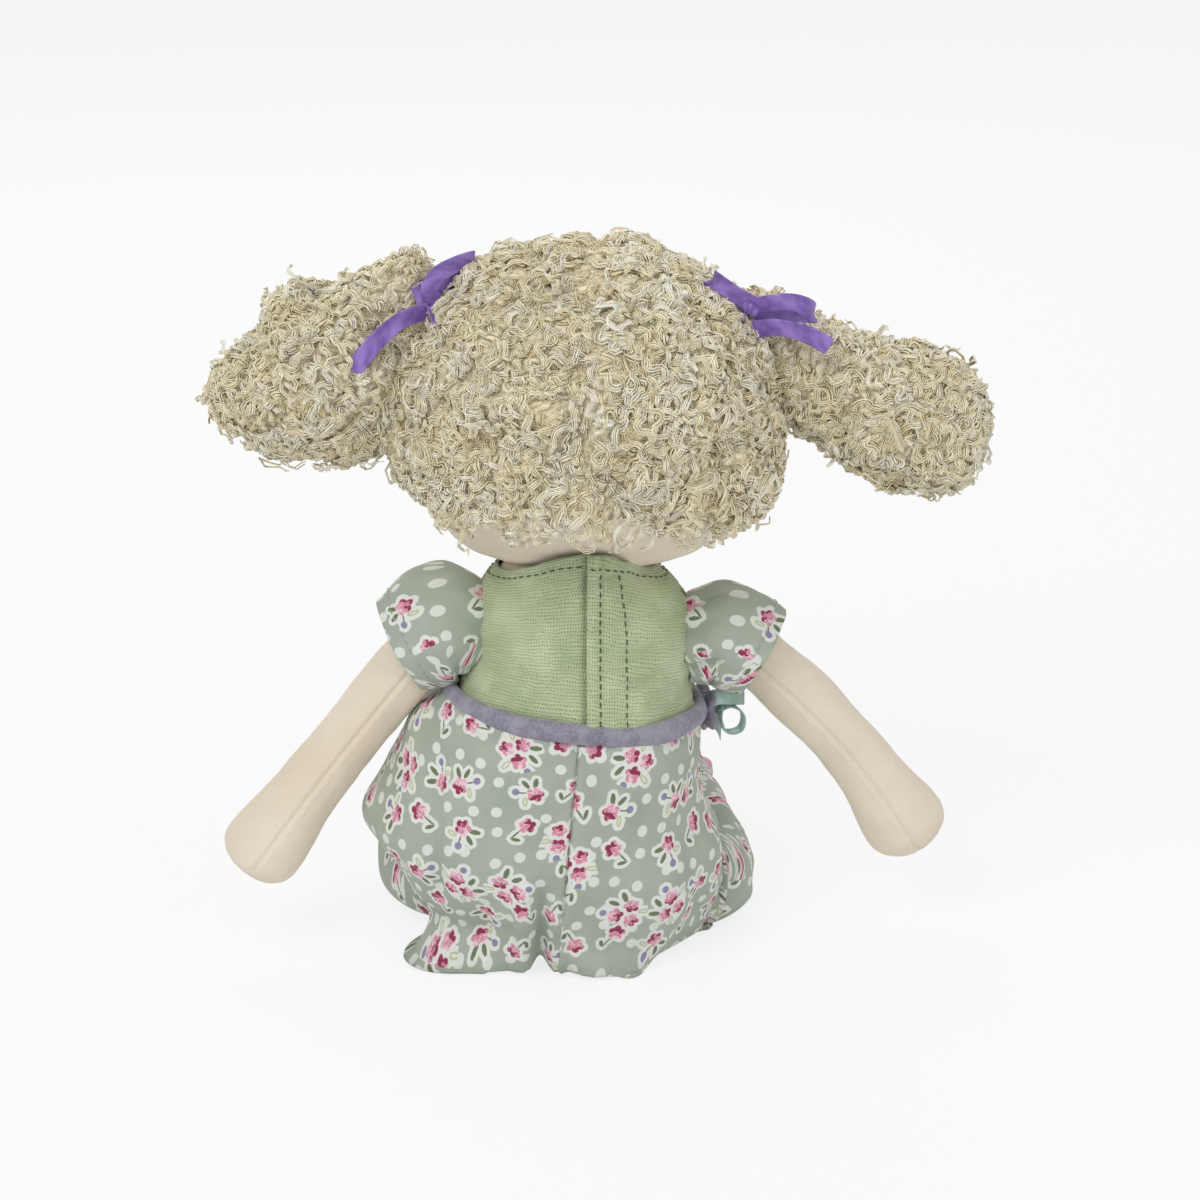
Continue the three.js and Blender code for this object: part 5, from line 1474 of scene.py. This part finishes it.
def make_wig_curls():
    directions = sphere_directions(WIG_LOCKS)
    roots = wig_middle + directions * wig_reach(directions)[:, None]
    normals = unit(directions / wig_half)
    near_tie = np.zeros(len(roots), bool)
    for name in SIDES:
        near_tie |= np.linalg.norm(roots - joints[f"{name}_pigtail_lift"], axis=1) < 6
    kept = has_wig(roots, 0.5) & ~near_tie
    roots, normals, directions = roots[kept], normals[kept], directions[kept]
    parting = np.sign(directions[:, [0]] + 0.05)
    flow = parting * LEFT * 0.5 - UP * 0.9
    flow = unit(flow - (flow * normals).sum(1, keepdims=True) * normals)
    order = np.argsort(np.arctan2(directions[:, 1], directions[:, 0]), kind="stable")
    tree = surface_tree(wig_surface())
    for k, chosen in enumerate(np.array_split(order, WIG_GROUPS)):
        add_locks(f"wig_locks_{k + 1}", "head", "wig_cap", tree, roots[chosen], normals[chosen], flow[chosen],
                  200 + 10 * k, 0.08)


# Pigtails: places to the side, height, and radius of the base under the curls, in millimetres
PIGTAIL_ROWS = {
    "left": [
        [49, 227, 7], [52, 227, 10.5], [56, 226, 12.5], [60, 222, 15.5], [66, 214, 21.5], [74, 205.5, 26.5],
        [84, 200.5, 28], [94, 196, 24.5], [105, 193.5, 18], [115, 194, 12], [122, 196, 4],
    ],
    "right": [
        [-49, 224, 5], [-55, 220, 6.5], [-61, 214, 8.5], [-69, 205, 13], [-80, 198, 16.5], [-93, 190.5, 19],
        [-105, 185, 21], [-117, 181, 20.5], [-126, 179, 15.5], [-131, 178, 6],
    ],
}


def pigtail_surface(name):
    table = curve(PIGTAIL_ROWS[name], PIGTAIL_STEPS)
    path = table[:, [0]] * LEFT + BODY_Y * BACK + table[:, [1]] * UP
    turns = even_turns(PIGTAIL_COLUMNS)
    radius = np.maximum(table[:, 2], 2)
    grid = sweep(path, radius, radius * 1.02, BACK, turns)
    lumps = 1.6 * ripple(grid, 24, 140 + SIDES[name]) + 0.9 * ripple(grid, 11, 150 + SIDES[name])
    return pushed(grid, lumps * ease(radius, 8, 18)[:, None], True), path, radius


def make_pigtail(name):
    grid, path, radius = pigtail_surface(name)
    base = skin(f"{name}_pigtail_base", grid)
    piece(base, f"{name}_pigtail", "hair", fine_mohair, f"{name}_pigtail")

    rng = np.random.default_rng(160 + SIDES[name])
    normals = grid_normals(grid, True)
    along = unit(np.gradient(path, axis=0))
    weight = radius + 2.0
    chance = np.cumsum(weight) / weight.sum()
    row = np.searchsorted(chance, (np.arange(PIGTAIL_LOCKS) + 0.5) / PIGTAIL_LOCKS)
    row = np.clip(row + rng.integers(-1, 2, PIGTAIL_LOCKS), 0, len(path) - 1)
    step = (np.arange(PIGTAIL_LOCKS) * GOLDEN_SHARE * PIGTAIL_COLUMNS).astype(int)
    column = np.mod(step, PIGTAIL_COLUMNS)
    roots, out = grid[row, column], normals[row, column]
    flow = unit(along[row] + 0.25 * rng.normal(size=(PIGTAIL_LOCKS, 3)) - 0.35 * UP)
    tree = surface_tree(grid)
    for k in range(PIGTAIL_GROUPS):
        chosen = np.arange(PIGTAIL_LOCKS) % PIGTAIL_GROUPS == k
        add_locks(f"{name}_pigtail_locks_{k + 1}", f"{name}_pigtail", f"{name}_pigtail", tree, roots[chosen],
                  out[chosen], flow[chosen], 300 + 10 * k + SIDES[name], 0.16)


# Stage, light and camera

FLOOR_REACH = 4000.0
FLOOR_DROP = 0.05
# Lamps: place in metres, size and power
LAMPS = {
    "key": ((0.55, 0.85, 1.05), 0.6, 6.0),
    "fill": ((-0.9, 0.5, 0.5), 0.9, 1.6),
    "front": ((0.2, -1.1, 0.9), 0.9, 3.4),
}
LAMP_AIM = (0, -0.018, 0.12)
WORLD_STRENGTH = 0.58


def make_stage():
    graph = Graph("white_floor", Roughness=1.0)
    graph.colour(ink(246, 246, 246))
    tree = graph.tree
    path = tree.nodes.new("ShaderNodeLightPath")
    seen = Wire(graph, path.outputs["Is Camera Ray"])
    for kind in ("Glossy", "Transmission"):
        seen = graph.math("MAXIMUM", seen, Wire(graph, path.outputs[f"Is {kind} Ray"]))
    glow = tree.nodes.new("ShaderNodeEmission")
    blend = tree.nodes.new("ShaderNodeMixShader")
    tree.links.new((seen * 0.8).socket, blend.inputs[0])
    tree.links.new(graph.shader.outputs[0], blend.inputs[1])
    tree.links.new(glow.outputs[0], blend.inputs[2])
    tree.links.new(blend.outputs[0], tree.nodes["Material Output"].inputs["Surface"])
    corners = np.array([[-1, -1, 0], [1, -1, 0], [1, 1, 0], [-1, 1, 0]]) * FLOOR_REACH - UP * FLOOR_DROP
    floor = make("floor", corners, [np.array([[0, 1, 2, 3]])])
    floor.data.materials.append(graph.material)


def make_light():
    world = bpy.data.worlds.new("studio")
    bpy.context.scene.world = world
    world.use_nodes = True
    nodes, links = world.node_tree.nodes, world.node_tree.links
    soft = nodes["Background"]
    soft.inputs["Strength"].default_value = WORLD_STRENGTH
    white = nodes.new("ShaderNodeBackground")
    for background in (soft, white):
        background.inputs["Color"].default_value = (1, 1, 1, 1)
    path = nodes.new("ShaderNodeLightPath")
    mixed = nodes.new("ShaderNodeMixShader")
    links.new(path.outputs["Is Camera Ray"], mixed.inputs[0])
    links.new(soft.outputs[0], mixed.inputs[1])
    links.new(white.outputs[0], mixed.inputs[2])
    links.new(mixed.outputs[0], nodes["World Output"].inputs["Surface"])
    for name, (place, size, power) in LAMPS.items():
        data = bpy.data.lights.new(name, "AREA")
        data.size = size
        data.energy = power
        lamp = bpy.data.objects.new(name, data)
        bpy.context.scene.collection.objects.link(lamp)
        lamp.location = place
        lamp.rotation_euler = (Vector(LAMP_AIM) - lamp.location).to_track_quat("-Z", "Y").to_euler()


# Metres and degrees
CAMERA_DISTANCE = 1.5
CAMERA_ELEVATION = 18
VIEW_WIDTH = 0.402
VIEW_MIDDLE = np.array([-0.005, -0.018, 0.1207])


def make_camera():
    elevation = math.radians(CAMERA_ELEVATION)
    data = bpy.data.cameras.new("camera")
    data.lens = data.sensor_width * CAMERA_DISTANCE / VIEW_WIDTH
    camera = bpy.data.objects.new("camera", data)
    bpy.context.scene.collection.objects.link(camera)
    behind = np.array([0, math.cos(elevation), math.sin(elevation)])
    camera.location = VIEW_MIDDLE + CAMERA_DISTANCE * behind
    camera.rotation_euler = (math.pi / 2 - elevation, 0, math.pi)
    bpy.context.scene.camera = camera


make_head()
make_face()
make_neck()
make_torso()
for limb in SIDES:
    make_arm(limb)
    make_leg(limb)
    make_sleeve(limb)
    make_romper_leg(limb)
make_bodice()
make_tapes()
make_romper()
make_elastics()
make_sash()
make_trim()
make_hair_bows()
make_wig_base()
make_wig_curls()
for tail in SIDES:
    make_pigtail(tail)
make_stage()
make_light()
make_camera()
bpy.context.scene.view_settings.view_transform = "Standard"
